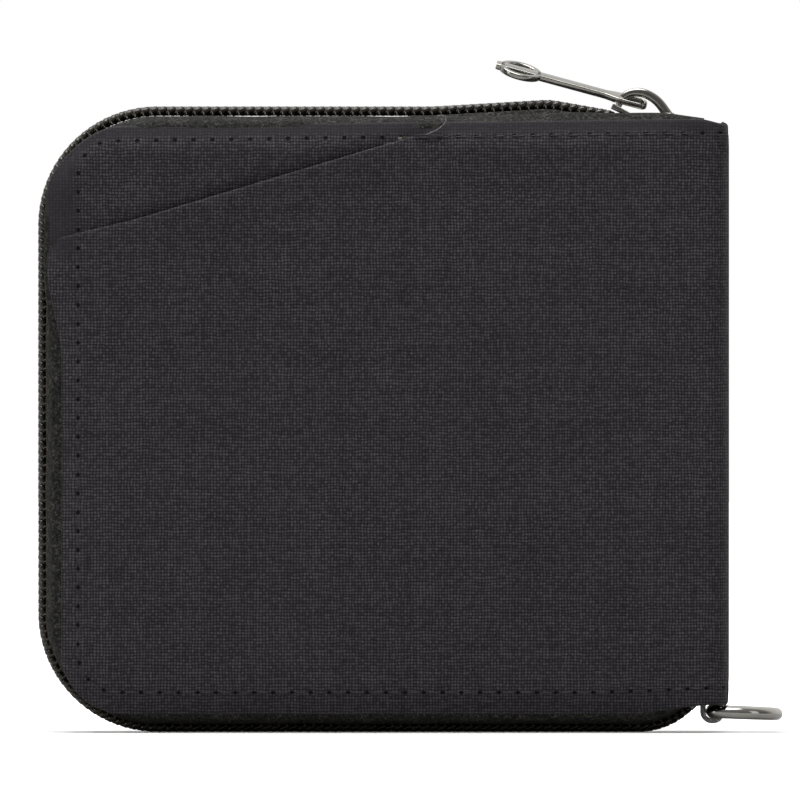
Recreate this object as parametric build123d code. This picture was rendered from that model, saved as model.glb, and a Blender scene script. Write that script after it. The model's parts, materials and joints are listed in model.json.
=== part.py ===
from build123d import *
import math
import os

os.makedirs("parts", exist_ok=True)

# Zip-around bifold wallet, standing on its lower zip edge.
# X runs from the fore-edge (low) to the spine (high), Y through the thickness
# with the back cover at low Y, Z up. The origin is on the floor under the
# middle of the wallet and its ring.

# Case
case_width = 110.0  # fore-edge of the zip to the outside of the spine
case_height = 99.6  # lower zip edge to upper zip edge
case_thickness = 22.0  # outside of one cover to the outside of the other
zip_corner_radius = 19.0  # outer line of the zip at the two fore corners

# Outer fabric
panel_corner_radius = 9.5
fore_reveal = 3.8  # from the zip's outer line to the panel's edge, at the fore-edge
lower_reveal = 3.0  # the same along the bottom
upper_reveal = 3.2  # the same at the upper fore corner
spine_upper_drop = 1.8  # from the zip's upper line to the top of the spine
spine_lower_rise = 4.9  # floor to the bottom of the spine
lower_rise_start = 17.0  # from the spine to where the lower edge starts to rise
fabric = 0.5  # one layer of outer fabric
pocket_low = 21.9  # from the zip's upper line down to the pocket mouth at the fore-edge
pocket_top = 45.3  # from the spine to the pocket mouth's end at the upper edge
spine_wall = 0.6  # fabric and padding of the spine
fold_radius = 1.1  # bend of the outer fabric, to the middle of its thickness
fold_gap = 0.6  # from a fold's axis to the edge of each panel beside it

# Covers, inside the outer fabric
board = 1.0
lining = 0.35
pocket_wall = 0.35
board_margin = 1.0  # clearance from the board's edge to the zip tape's seam
binding_width = 3.0
binding_wall = 0.4
pocket_margin = 1.5  # from the binding to the sewn edge of a pocket
note_pocket_drop = 8.0  # lining top to the banknote pocket's mouth
card_slot_drop = 11.0  # step from one card slot's mouth to the next
window_height = 50.0
window_border = 5.0
window_film = 0.3

# Zip chain: nylon coil sewn to the edge of its tape
chain_gap = 0.3  # between the two halves
coil_width = 2.45  # one half
coil_depth = 1.5
tape = 0.5
tape_under_coil = 1.25  # how far the tape's edge stops short of the chain's middle
tape_play = 0.35  # from the slider to where the side wall starts
crest = 0.85  # depth of the side wall's highest line below the coil's outer line
crest_run = 0.95  # from the start of the side wall out to that line
hump = 1.1  # rise of the chain before the slider
hump_start = 47.0  # from the spine
hump_top = 28.3  # from the spine
mouth_drop = 0.3  # the chain's outer line below the zip line at the slider's mouth
tuck_start = 9.3  # from the spine to the corner where the lower end turns up
tuck_length = 5.0  # straight length of that end
tuck_angle = 43.0  # above the horizontal
tuck_radius = 12.0
stop_length = 1.2
chain_end = 5.4  # from the spine to the upper end of the chain

# Slider
slider_length = 10.6
slider_nose = 8.0  # from the spine to the slider's nose
slider_wall = 0.8
slider_taper = 0.7  # how much narrower each side is at the tail
slider_play = 0.3  # clearance between the chain and the slider
channel_drop = 1.9  # zip line down to the coil inside the slider
lip_length = 3.2  # the flared mouth that takes in the closed chain
lip_rise = 1.55
post_length = 2.5
post_width = 1.8
flange = 0.55
flange_play = 0.25  # from a flange to the parted chain
spread = 1.0  # how far each half moves sideways round the post
spread_length = 3.0
slider_travel = 70.0

# Bail
bail_width = 1.8
bail_rise = 4.0  # above the slider's upper face
bail_wall = 1.6

# Pull
pull_length = 24.6  # from its axis to its tip
pull_thickness = 1.0
pull_width = 2.1
pull_lift = 16.5  # degrees above the horizontal at rest
pull_roll = 18.0  # degrees about its own length
eye_length = 5.4  # clear length of the window that the bail passes through
eye_clear = 3.0  # clear width of the window
eye_wall = 0.75
eye_height = 1.28  # pull's axis above the slider's upper face
pull_ring_outer = 7.0
pull_ring_inner = 5.0
pull_ring_place = 20.6  # from the axis to the ring's middle

# D-ring and its loop
ring_wire = 2.0
ring_width = 15.0  # between the middles of the two arms
ring_depth = 10.3  # from the middle of the bar to the middle of the bow
ring_inset = 2.4  # from the outside of the spine to the middle of the bar
ring_height = 3.3
ring_droop = 2.2  # degrees below the horizontal at rest
ring_play = 0.1  # radial clearance of the bar in its loop
loop_wall = 0.6
loop_width = 9.0
loop_tail = 12.0  # floor to the sewn end of the loop

# Places worked out from the sizes above
ring_reach = ring_depth * math.cos(math.radians(ring_droop)) + ring_wire / 2 - ring_inset
fore_x = -(case_width + ring_reach) / 2
spine_x = fore_x + case_width
half = case_thickness / 2
pocket_face = half - fabric
panel_inner = half - 2 * fabric
board_inner = panel_inner - board
lining_inner = board_inner - lining
spine_mid = spine_x - spine_wall / 2
fold_x = spine_mid - fold_radius
fold_y = half - fabric - fold_radius
panel_spine_x = fold_x - fold_gap
spine_half = fold_y - fold_gap
spine_low = spine_lower_rise
spine_high = case_height - spine_upper_drop
channel_top = case_height - channel_drop
slider_top = channel_top + slider_play + slider_wall
nose_x = spine_x - slider_nose
tail_x = nose_x - slider_length
level_x = tail_x + lip_length
end_x = spine_x - chain_end
split_x = level_x + 0.9
parted_x = split_x + spread_length
coil_in = chain_gap / 2
coil_out = coil_in + coil_width
slider_width = 2 * (coil_out + spread + flange_play + flange)
slider_tail_width = slider_width - 2 * slider_taper
tape_edge = slider_width / 2 + tape_play
crest_width = tape_edge + crest_run


def rounded_path(points, radii, inset=0.0, close=False):
    """A line through points with rounded corners, moved inset to the right of
    its direction of travel. An open line has no radius at its two ends."""
    if close:
        points = [points[-1], *points, points[0]]
    ways = []
    for (x0, z0), (x1, z1) in zip(points, points[1:]):
        size = math.hypot(x1 - x0, z1 - z0)
        ways.append(((x1 - x0) / size, (z1 - z0) / size))
    corners = []
    for i in range(1, len(points) - 1):
        (ax, az), (bx, bz) = ways[i - 1], ways[i]
        share = inset / (1 + ax * bx + az * bz)
        x = points[i][0] + share * (az + bz)
        z = points[i][1] - share * (ax + bx)
        right_turn = ax * bz - az * bx < 0
        radius = max(radii[i - 1] - inset, 0.0) if right_turn else radii[i - 1] + inset
        half_turn = math.acos(max(-1.0, min(1.0, ax * bx + az * bz))) / 2
        cut = radius * math.tan(half_turn)
        bulge = radius / math.cos(half_turn) - radius
        size = math.hypot(bx - ax, bz - az)
        before = (x - cut * ax, z - cut * az)
        middle = (x + bulge * (bx - ax) / size, z + bulge * (bz - az) / size)
        after = (x + cut * bx, z + cut * bz)
        corners.append((before, middle, after, radius))
    first_way, last_way = ways[0], ways[-1]
    start = (points[0][0] + inset * first_way[1], points[0][1] - inset * first_way[0])
    finish = (points[-1][0] + inset * last_way[1], points[-1][1] - inset * last_way[0])
    here = corners[-1][2] if close else start
    edges = []
    for before, middle, after, radius in corners:
        edges.append(Edge.make_line(here, before))
        if radius > 0:
            edges.append(Edge.make_three_point_arc(before, middle, after))
        here = after
    if not close:
        edges.append(Edge.make_line(here, finish))
    return Wire(edges)


def rounded_face(points, radii):
    """The flat face inside a closed line with rounded corners."""
    return Face(rounded_path(points, radii, close=True))


def band(points, radii, outer, inner):
    """The flat face between two insets of one path."""
    first = rounded_path(points, radii, outer)
    second = rounded_path(points, radii, inner)
    ends = [Edge.make_line(first @ 0, second @ 0), Edge.make_line(first @ 1, second @ 1)]
    return Face(Wire([*first.edges(), *second.edges(), *ends]))


def slab(sketch, near, far):
    """A sketch drawn in X and Z, as a solid between Y = near and Y = far."""
    far_plane = Plane((0, max(near, far), 0), x_dir=(1, 0, 0), z_dir=(0, -1, 0))
    return extrude(far_plane * sketch, amount=abs(far - near), dir=(0, -1, 0))


def plate(x0, x1, z0, z1, near, far, corner=0.0):
    """A rectangular sheet with rounded corners, standing in the XZ plane."""
    sketch = RectangleRounded(x1 - x0, z1 - z0, corner) if corner else Rectangle(x1 - x0, z1 - z0)
    return slab(Pos((x0 + x1) / 2, (z0 + z1) / 2) * sketch, near, far)


def other_side(solid):
    """The same piece on the front cover."""
    return mirror(solid, about=Plane.XZ)


def write(node, *solids):
    """One STEP file for one sub-part."""
    shape = solids[0] if len(solids) == 1 else Compound(children=list(solids))
    export_step(shape, os.path.join("parts", node + ".step"))


# Outer fabric of the covers
panel_fore_x = fore_x + fore_reveal
panel_low = lower_reveal
panel_high = case_height - upper_reveal


def panel_outline():
    """The edge of a cover's outer fabric."""
    corners = [
        (panel_spine_x, spine_low),
        (spine_x - lower_rise_start, panel_low),
        (panel_fore_x, panel_low),
        (panel_fore_x, panel_high),
        (panel_spine_x, spine_high),
    ]
    return rounded_face(corners, [1.0, 20.0, panel_corner_radius, panel_corner_radius, 1.5])


mouth_fore = (panel_fore_x - 1, case_height - pocket_low)
mouth_upper = (spine_x - pocket_top, case_height - spine_upper_drop + 1)
mouth_corner = (mouth_fore[0], mouth_upper[1])
above_mouth = make_face(Polyline(mouth_fore, mouth_upper, mouth_corner, close=True).edges())

back_panel = slab(panel_outline(), -pocket_face, -panel_inner)
back_pocket = slab(panel_outline() - above_mouth, -half, -pocket_face)
front_panel = slab(panel_outline(), panel_inner, half)
spine_panel = extrude(
    Plane((spine_x - spine_wall, 0, (spine_low + spine_high) / 2), x_dir=(0, 1, 0), z_dir=(1, 0, 0))
    * Rectangle(2 * spine_half, spine_high - spine_low),
    amount=spine_wall,
)
write("back_panel", back_panel)
write("back_slip_pocket", back_pocket)
write("front_panel", front_panel)
write("spine_panel", spine_panel)

# Zip: the outer line of the chain, from its lower end round the fore-edge
tuck = math.radians(tuck_angle)
tuck_corner = (spine_x - tuck_start, 0.0)
lower_end = (
    tuck_corner[0] + tuck_length * math.cos(tuck),
    tuck_corner[1] + tuck_length * math.sin(tuck),
)
loop_points = [lower_end, tuck_corner, (fore_x, 0.0), (fore_x, case_height)]
loop_radii = [tuck_radius, zip_corner_radius, zip_corner_radius]
chain_points = loop_points + [
    (spine_x - hump_start, case_height),
    (spine_x - hump_top, case_height + hump),
    (tail_x, case_height - mouth_drop),
    (level_x, channel_top),
    (split_x, channel_top),
]
chain_radii = loop_radii + [60.0, 12.0, 6.0, 3.0]


def parting(inner, outer, top, bottom):
    """The last stretch of one half, which leaves the other round the post."""
    edge = Polyline(
        (split_x, -inner),
        (parted_x, -inner - spread),
        (end_x, -inner - spread),
        (end_x, -outer),
        (parted_x, -outer),
        (split_x, -outer + (spread if outer < tape_edge else 0)),
        close=True,
    )
    return extrude(Pos(0, 0, bottom) * make_face(edge.edges()), amount=top - bottom, dir=(0, 0, 1))


def chain_half():
    """One half of the chain: the coil and the tape edge that it is sewn to."""
    coil_side = band(chain_points, chain_radii, 0.0, coil_depth)
    coil = slab(coil_side, -coil_out, -coil_in)
    strip_side = band(chain_points, chain_radii, coil_depth, coil_depth + tape)
    strip = slab(strip_side, -tape_edge, -tape_under_coil)
    coil_base = channel_top - coil_depth
    coil_tail = parting(coil_in, coil_out + spread, channel_top, coil_base)
    strip_tail = parting(tape_under_coil, tape_edge, coil_base, coil_base - tape)
    return coil + strip + coil_tail + strip_tail


chain_back = chain_half()
chain_front = other_side(chain_back)
write("zip_chain_back", chain_back)
write("zip_chain_front", chain_front)

# Side wall: the rest of each tape, from beside the chain to the cover's seam
wall_points = loop_points + [
    (nose_x - 1.5, case_height),
    (spine_x - 3.6, spine_high + crest),
]
wall_radii = loop_radii + [20.0]
wall_path = Plane.XZ * rounded_path(wall_points, wall_radii)
seam_depth = lower_reveal + 0.1
wall_section = [
    (tape_edge, coil_depth),
    (crest_width, crest),
    (panel_inner, seam_depth - tape),
    (panel_inner, seam_depth + tape / 2),
    (crest_width, crest + tape),
    (tape_edge, coil_depth + tape),
]
start_plane = Plane(wall_path @ 0, x_dir=(0, -1, 0), z_dir=wall_path % 0)
inward = 1 if start_plane.y_dir.Z > 0 else -1
section = make_face(Polyline(*[(y, inward * d) for y, d in wall_section], close=True).edges())
tape_back = sweep(start_plane * section, path=wall_path)
write("zip_tape_back", tape_back)
write("zip_tape_front", other_side(tape_back))

# Stops at the ends of the chain
top_stop_place = (
    end_x + stop_length / 2,
    -(coil_in + coil_out) / 2 - spread,
    channel_top - coil_depth / 2,
)
top_stop = Pos(*top_stop_place) * Box(stop_length, coil_width, coil_depth)
stop_plane = Plane(
    (lower_end[0], 0, lower_end[1]), x_dir=(0, 1, 0), z_dir=(math.cos(tuck), 0, math.sin(tuck))
)
up = 1 if stop_plane.y_dir.Z > 0 else -1
bottom_stop = extrude(
    stop_plane * Pos(0, up * coil_depth / 2) * Rectangle(2 * coil_out, coil_depth), amount=stop_length
)
write("zip_top_stop_back", top_stop)
write("zip_top_stop_front", other_side(top_stop))
write("zip_bottom_stop", bottom_stop)

# Boards, linings, bindings and pockets
inner_fore = panel_fore_x + seam_depth - lower_reveal + tape + board_margin
inner_low = panel_low + tape + board_margin
inner_high = panel_high - tape - board_margin
inner_spine = panel_spine_x - board_margin
inner_corner = zip_corner_radius - fore_reveal - tape - board_margin


def inner_sheet(near, far, margin=0.0):
    """A sheet that fills the cover inside the zip tape."""
    fore, spine = inner_fore + margin, inner_spine
    low, high = inner_low + 1.5 + margin, inner_high - margin
    corner = max(inner_corner - margin, 1.0)
    corners = [(spine, low), (fore, low), (fore, high), (spine, high)]
    return slab(rounded_face(corners, [1.0, corner, corner, 1.0]), near, far)


back_board = inner_sheet(-panel_inner, -board_inner)
back_lining = inner_sheet(-board_inner, -lining_inner)
binding_inner = lining_inner - binding_wall
back_binding = inner_sheet(-lining_inner, -binding_inner) - inner_sheet(
    -lining_inner, -binding_inner, binding_width
)
write("back_board", back_board)
write("front_board", other_side(back_board))
write("back_lining", back_lining)
write("front_lining", other_side(back_lining))
write("back_seam_binding", back_binding)
write("front_seam_binding", other_side(back_binding))

pocket_fore = inner_fore + binding_width + pocket_margin
pocket_spine = inner_spine - pocket_margin
pocket_low_z = inner_low + 1.5 + binding_width + pocket_margin
binding_corner = inner_corner - binding_width
pocket_corner = binding_corner - pocket_margin
corner_rise = math.sqrt((binding_corner - pocket_margin / 2) ** 2 - pocket_corner**2)
note_mouth = inner_high - max(binding_width + note_pocket_drop, inner_corner - corner_rise)


def inner_pocket(layer, mouth):
    """A pocket wall of the back cover; layer 0 lies on the lining."""
    outer = lining_inner - layer * pocket_wall
    spine, fore, low = pocket_spine, pocket_fore, pocket_low_z
    corners = [(spine, low), (fore, low), (fore, mouth), (spine, mouth)]
    return slab(rounded_face(corners, [1.0, pocket_corner, 0.0, 0.0]), -outer, -outer + pocket_wall)


note_pocket = inner_pocket(0, note_mouth)
write("back_note_pocket", note_pocket)
write("front_note_pocket", other_side(note_pocket))
slots = [inner_pocket(1 + i, note_mouth - (1 + i) * card_slot_drop) for i in range(3)]
for i, slot in enumerate(slots):
    write(f"back_card_slot_{3 - i}", slot)
for i, slot in enumerate(slots[:2]):
    write(f"front_card_slot_{2 - i}", other_side(slot))

# Clear window and its frame, on the front cover's lowest card slot
frame_y = lining_inner - 3 * pocket_wall
frame_x0, frame_x1 = pocket_fore + 2, pocket_spine - 2
frame_z0 = pocket_low_z + 2
frame_z1 = min(frame_z0 + window_height, note_mouth - 2 * card_slot_drop - 2)
opening = plate(
    frame_x0 + window_border,
    frame_x1 - window_border,
    frame_z0 + window_border,
    frame_z1 - window_border,
    frame_y,
    frame_y - 2 * window_film,
    2.0,
)
film = plate(frame_x0, frame_x1, frame_z0, frame_z1, frame_y, frame_y - window_film, 3.0)
frame = plate(frame_x0, frame_x1, frame_z0, frame_z1, frame_y - window_film, frame_y - 2 * window_film, 3.0)
write("id_window", film)
write("id_window_frame", frame - opening)

# Spine lining, clear of the loop's sewn tail
spine_lining = extrude(
    Plane((spine_x - spine_wall, 0, (loop_tail + spine_high) / 2), x_dir=(0, 1, 0), z_dir=(-1, 0, 0))
    * Rectangle(2 * spine_half, spine_high - loop_tail - 1),
    amount=lining,
)
write("spine_lining", spine_lining)

# Slider: two plates joined by a post, with a flared mouth at the tail
inside_top = channel_top + slider_play
inside_low = channel_top - coil_depth - tape - slider_play
slider_side = Polyline(
    (tail_x, slider_top + lip_rise - slider_wall),
    (tail_x + 0.4, slider_top + lip_rise),
    (level_x, slider_top),
    (nose_x - 0.6, slider_top),
    (nose_x, slider_top - 0.5),
    (nose_x, inside_top),
    (level_x, inside_top),
    close=True,
)
plan = make_face(
    Polyline(
        (tail_x, slider_tail_width / 2),
        (level_x + 1.5, slider_tail_width / 2),
        (nose_x - 3.0, slider_width / 2),
        (nose_x - 1.0, slider_width / 2),
        (nose_x, slider_width / 2 - 1.0),
        (nose_x, -slider_width / 2 + 1.0),
        (nose_x - 1.0, -slider_width / 2),
        (nose_x - 3.0, -slider_width / 2),
        (level_x + 1.5, -slider_tail_width / 2),
        (tail_x, -slider_tail_width / 2),
        close=True,
    ).edges()
)
plan_block = extrude(Pos(0, 0, inside_low - 5) * plan, amount=20, dir=(0, 0, 1))
upper_plate = slab(make_face(slider_side.edges()), -slider_width / 2, slider_width / 2) & plan_block
lower_plate = plate(
    tail_x + 1.0, nose_x, inside_low - slider_wall, inside_low, -slider_width / 2, slider_width / 2
) & plan_block
post = plate(
    nose_x - post_length, nose_x, inside_low, inside_top, -post_width / 2, post_width / 2
)
flange_low = channel_top - coil_depth + slider_play
flanges = []
for side in (-1, 1):
    edge = side * slider_width / 2
    flanges.append(
        plate(nose_x - 3.0, nose_x - 1.0, flange_low, inside_top, edge, edge - side * flange)
    )
slider_body = upper_plate + lower_plate + post + flanges[0] + flanges[1]
write("slider_body", slider_body)

# Bail: an arch over the slider, higher towards the tail
bail_top = slider_top + bail_rise
bail_tail = tail_x + 0.5
bail_nose = nose_x - 0.5
bail_crown = tail_x + 4.3
tail_foot = slider_top + lip_rise - 0.3
outer_arch = Spline(
    (bail_tail, tail_foot),
    (bail_crown, bail_top),
    (bail_nose, slider_top),
    tangents=[(0.45, 1), (0.55, -1)],
)
inner_arch = Spline(
    (bail_tail + 0.9, tail_foot - 0.3),
    (bail_crown + 0.4, bail_top - bail_wall),
    (bail_nose - bail_wall * 1.3, slider_top),
    tangents=[(0.7, 1), (0.6, -1)],
)
bail_feet = [Line(outer_arch @ end, inner_arch @ end) for end in (0, 1)]
bail_face = make_face([outer_arch.edge(), inner_arch.edge(), *bail_feet])
slider_bail = slab(bail_face, -bail_width / 2, bail_width / 2) - slider_body
write("slider_bail", slider_bail)

# Pull, drawn lying along -X from its axis, then rolled and lifted
pull_x = tail_x + 5.5
pull_z = slider_top + eye_height
eye_outer = eye_clear + 2 * eye_wall
bar_start = eye_length
thick = pull_thickness
eye_bar = Rot(90, 0, 0) * Cylinder(thick / 2, eye_outer)
eye_middle = Pos(-eye_length / 2, 0, 0)
arms = eye_middle * Box(eye_length, eye_outer, thick) - eye_middle * Box(eye_length, eye_clear, thick * 2)
neck_edge = Polyline(
    (-bar_start, eye_outer / 2),
    (-bar_start - 0.8, eye_outer / 2),
    (-bar_start - 2.6, pull_width / 2),
    (-pull_length, pull_width / 2),
    (-pull_length, -pull_width / 2),
    (-bar_start - 2.6, -pull_width / 2),
    (-bar_start - 0.8, -eye_outer / 2),
    (-bar_start, -eye_outer / 2),
    close=True,
)
bar = extrude(Pos(0, 0, -thick / 2) * make_face(neck_edge.edges()), amount=thick, dir=(0, 0, 1))
ring_face = Circle(pull_ring_outer / 2) - Circle(pull_ring_inner / 2)
pull_ring = extrude(Pos(-pull_ring_place, 0, -thick / 2) * ring_face, amount=thick, dir=(0, 0, 1))
pull_flat = eye_bar + arms + bar + pull_ring
zip_pull = Pos(pull_x, 0, pull_z) * Rot(0, pull_lift, 0) * Rot(pull_roll, 0, 0) * pull_flat
write("zip_pull", zip_pull)

# D-ring: a straight bar, two arms and a bow, drawn flat and lowered about the bar
bar_x = spine_x - ring_inset
bow = ring_width / 2
arm = ring_depth - bow
ring_bend = ring_wire * 0.75
ring_sides = rounded_path([(arm, -bow), (0, -bow), (0, bow), (arm, bow)], [ring_bend, ring_bend])
ring_bow = Edge.make_three_point_arc((arm, bow), (ring_depth, 0), (arm, -bow))
ring_wire_path = Wire([*ring_sides.edges(), ring_bow])
ring_section = Plane(ring_wire_path @ 0, z_dir=ring_wire_path % 0) * Circle(ring_wire / 2)
ring_flat = sweep(ring_section, path=ring_wire_path)
d_ring = Pos(bar_x, 0, ring_height) * Rot(0, ring_droop, 0) * ring_flat
write("d_ring", d_ring)

# Loop: webbing round the ring's bar, sewn to the inside of the spine
sleeve_inner = ring_wire / 2 + ring_play
sleeve_outer = sleeve_inner + loop_wall
sleeve = Circle(sleeve_outer) - Circle(sleeve_inner)
tail_x0 = spine_x - spine_wall - 2 * loop_wall
tail = Pos((tail_x0 + spine_x - spine_wall) / 2 - bar_x, (loop_tail - ring_height) / 2) * Rectangle(
    2 * loop_wall, loop_tail - ring_height
)
loop_section = Pos(bar_x, ring_height) * (sleeve + (tail - Circle(sleeve_inner)))
ring_loop = slab(loop_section, -loop_width / 2, loop_width / 2)
write("ring_loop", ring_loop)

print("nodes written:", len(os.listdir("parts")))
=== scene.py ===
# Zip-around bifold wallet: cloth, thread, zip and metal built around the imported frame.
# Sizes are in millimetres until a mesh is written, which is in metres.
import bpy
import bmesh
import json
import math
import numpy as np
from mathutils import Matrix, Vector

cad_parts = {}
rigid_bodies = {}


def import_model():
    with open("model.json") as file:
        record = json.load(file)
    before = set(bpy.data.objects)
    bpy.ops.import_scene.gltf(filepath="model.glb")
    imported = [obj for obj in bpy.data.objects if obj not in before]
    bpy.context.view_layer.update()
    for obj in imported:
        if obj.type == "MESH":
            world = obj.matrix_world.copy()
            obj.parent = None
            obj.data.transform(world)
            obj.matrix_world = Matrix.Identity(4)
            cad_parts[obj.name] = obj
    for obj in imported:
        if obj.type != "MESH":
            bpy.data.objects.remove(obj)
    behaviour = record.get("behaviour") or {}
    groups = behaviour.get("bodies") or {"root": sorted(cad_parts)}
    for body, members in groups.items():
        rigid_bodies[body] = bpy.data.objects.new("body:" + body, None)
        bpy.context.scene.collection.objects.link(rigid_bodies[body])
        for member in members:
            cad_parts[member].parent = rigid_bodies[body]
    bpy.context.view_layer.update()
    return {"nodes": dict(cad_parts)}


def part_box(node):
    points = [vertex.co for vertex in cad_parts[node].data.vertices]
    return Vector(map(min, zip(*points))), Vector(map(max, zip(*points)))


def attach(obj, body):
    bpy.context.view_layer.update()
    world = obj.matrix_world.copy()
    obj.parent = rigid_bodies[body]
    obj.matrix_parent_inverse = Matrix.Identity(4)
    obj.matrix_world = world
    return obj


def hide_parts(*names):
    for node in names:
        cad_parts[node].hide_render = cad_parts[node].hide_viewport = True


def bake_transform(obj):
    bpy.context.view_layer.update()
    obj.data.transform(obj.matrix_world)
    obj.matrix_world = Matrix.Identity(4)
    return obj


for spare in list(bpy.data.objects):
    bpy.data.objects.remove(spare)  # an empty file to start from
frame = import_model()
print("frame loaded:", len(frame["nodes"]), "nodes")

metres = 0.001


def corners(node):
    # lowest and highest corner of a CAD node, in millimetres
    low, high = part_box(node)
    return np.array(low) / metres, np.array(high) / metres


# Places taken from the frame
panelLow, panelHigh = corners("back_panel")
spineBoxLow, spineBoxHigh = corners("spine_panel")
pocketLow = corners("back_slip_pocket")[0]
chainLow = corners("zip_chain_back")[0]
sliderLow, sliderHigh = corners("slider_body")

case = {
    "fore": chainLow[0],  # outer line of the zip at the fore-edge
    "spine": spineBoxHigh[0],  # outside of the spine
    "half": -pocketLow[1],  # middle of the wallet to the outside of a cover
    "high": 99.6,  # upper line of the zip
    "spineLow": spineBoxLow[2],
    "spineHigh": spineBoxHigh[2],
    "panelFore": panelLow[0],
    "panelSpine": panelHigh[0],
    "panelLow": panelLow[2],
    "panelHigh": 96.4,  # upper edge of a cover at its fore corner
    "panelCorner": 9.5,
    "riseStart": 17.0,  # from the spine to where the lower edge starts to rise
    "spineDip": 0.8,  # the upper edge rounds down over the fold
}


def roundedLine(points, radii, step):
    # straight runs joined by arcs tangent to both, then divided evenly along their length
    points = np.array(points, float)
    runs = np.diff(points, axis=0)
    ways = runs / np.linalg.norm(runs, axis=1, keepdims=True)
    stretches = [points[:1]]
    for corner, before, after, radius in zip(points[1:-1], ways, ways[1:], radii):
        turn = math.acos(np.clip(before @ after, -1, 1))
        across = after - before * (before @ after)
        across = across / max(np.linalg.norm(across), 1e-9)
        t = np.linspace(0, turn, 40)[:, None]
        start = corner - before * radius * math.tan(turn / 2)
        stretches.append(start + radius * (np.sin(t) * before + (1 - np.cos(t)) * across))
    stretches.append(points[-1:])
    return evenly(np.concatenate(stretches), step)


def evenly(line, step):
    # points at equal distances along a line of points
    along = np.concatenate([[0], np.cumsum(np.linalg.norm(np.diff(line, axis=0), axis=1))])
    places = np.linspace(0, along[-1], max(int(round(along[-1] / step)), 2) + 1)
    return np.stack([np.interp(places, along, axis) for axis in line.T], axis=1)


def softLine(points, step, passes=3):
    # each pass cuts every corner at a quarter and three quarters of its two sides
    line = np.array(points, float)
    for _ in range(passes):
        first, last = line[:-1], line[1:]
        cut = np.stack([0.75 * first + 0.25 * last, 0.25 * first + 0.75 * last], axis=1)
        line = np.concatenate([line[:1], cut.reshape(-1, line.shape[1]), line[-1:]])
    return evenly(line, step)


def distances(line):
    # length travelled at each point of a line
    return np.concatenate([[0], np.cumsum(np.linalg.norm(np.diff(line, axis=0), axis=1))])


def unit(vectors):
    return vectors / np.maximum(np.linalg.norm(vectors, axis=-1, keepdims=True), 1e-12)


def smooth(t):
    # 0 below 0, 1 above 1, and an even ease between
    t = np.clip(t, 0, 1)
    return t * t * (3 - 2 * t)


def gridFaces(rows, columns, closeRows=False, closeColumns=False, start=0):
    # quads between neighbours of a grid whose vertices are numbered row by row
    i = np.arange(rows if closeRows else rows - 1)
    j = np.arange(columns if closeColumns else columns - 1)
    i, j = np.meshgrid(i, j, indexing="ij")
    nextI, nextJ = (i + 1) % rows, (j + 1) % columns
    quads = [i * columns + j, nextI * columns + j, nextI * columns + nextJ, i * columns + nextJ]
    return np.stack(quads, axis=-1).reshape(-1, 4) + start


def pieceFrom(name, grids, attributes=None):
    # one mesh from several grids; a grid is (points, closeRows, closeColumns)
    points, faces, start = [], [], 0
    for grid in grids:
        array, closeRows, closeColumns = grid
        rows, columns = array.shape[:2]
        points.append(array.reshape(-1, 3))
        faces.append(gridFaces(rows, columns, closeRows, closeColumns, start))
        start += rows * columns
    return meshPiece(name, np.concatenate(points), np.concatenate(faces), attributes)


def meshPiece(name, points, faces, attributes=None):
    mesh = bpy.data.meshes.new(name)
    faces = np.asarray(faces)
    mesh.vertices.add(len(points))
    mesh.vertices.foreach_set("co", (points * metres).astype(np.float32).ravel())
    sides = faces.shape[1]
    mesh.loops.add(faces.size)
    mesh.loops.foreach_set("vertex_index", faces.astype(np.int32).ravel())
    mesh.polygons.add(len(faces))
    mesh.polygons.foreach_set("loop_start", np.arange(0, faces.size, sides, dtype=np.int32))
    mesh.polygons.foreach_set("use_smooth", np.ones(len(faces), bool))
    mesh.update(calc_edges=True)
    for key, values in (attributes or {}).items():
        layer = mesh.attributes.new(key, "FLOAT_VECTOR", "POINT")
        layer.data.foreach_set("vector", np.asarray(values, np.float32).ravel())
    mesh.validate()
    piece = bpy.data.objects.new(name, mesh)
    bpy.context.scene.collection.objects.link(piece)
    return piece


def weld(piece, outward=True, gap=0.004):
    # joins vertices that meet, and turns a closed skin's faces outwards
    form = bmesh.new()
    form.from_mesh(piece.data)
    bmesh.ops.remove_doubles(form, verts=form.verts, dist=gap * metres)
    if outward:
        bmesh.ops.recalc_face_normals(form, faces=form.faces)
    form.to_mesh(piece.data)
    form.free()
    piece.data.update()
    return piece


def applied(piece):
    # the piece with its modifiers made part of its mesh
    shape = bpy.data.meshes.new_from_object(piece.evaluated_get(bpy.context.evaluated_depsgraph_get()))
    piece.modifiers.clear()
    piece.data = shape
    return piece


def thicken(piece, thickness):
    # cloth gets its real thickness on the inner side of its faces
    wall = piece.modifiers.new("thickness", "SOLIDIFY")
    wall.thickness = thickness * metres
    wall.offset = -1
    return applied(piece)


def tubes(lines, radius, sides=6, reference=(0, 0, 1)):
    # rings of vertices round many lines at once; each end closes to a point
    lines = np.asarray(lines, float)
    ways = unit(np.gradient(lines, axis=1))
    lines = np.concatenate([lines[:, :1], lines, lines[:, -1:]], axis=1)
    ways = np.concatenate([ways[:, :1], ways, ways[:, -1:]], axis=1)
    side = unit(np.cross(ways, np.asarray(reference, float)))
    up = np.cross(side, ways)
    count, length = lines.shape[:2]
    size = np.full(length, float(radius))
    size[[0, -1]] = 0
    angle = np.linspace(0, 2 * math.pi, sides, endpoint=False)[:, None]
    spokes = np.cos(angle) * side[:, :, None] + np.sin(angle) * up[:, :, None]
    rings = lines[:, :, None] + size[None, :, None, None] * spokes
    faces = gridFaces(length, sides, False, True)
    faces = faces[None] + np.arange(count)[:, None, None] * (length * sides)
    return rings.reshape(-1, 3), faces.reshape(-1, 4)


def thread(name, lines, radius, sides=6, reference=(0, 0, 1)):
    points, faces = tubes(lines, radius, sides, reference)
    return weld(meshPiece(name, points, faces), gap=0.001)


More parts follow.
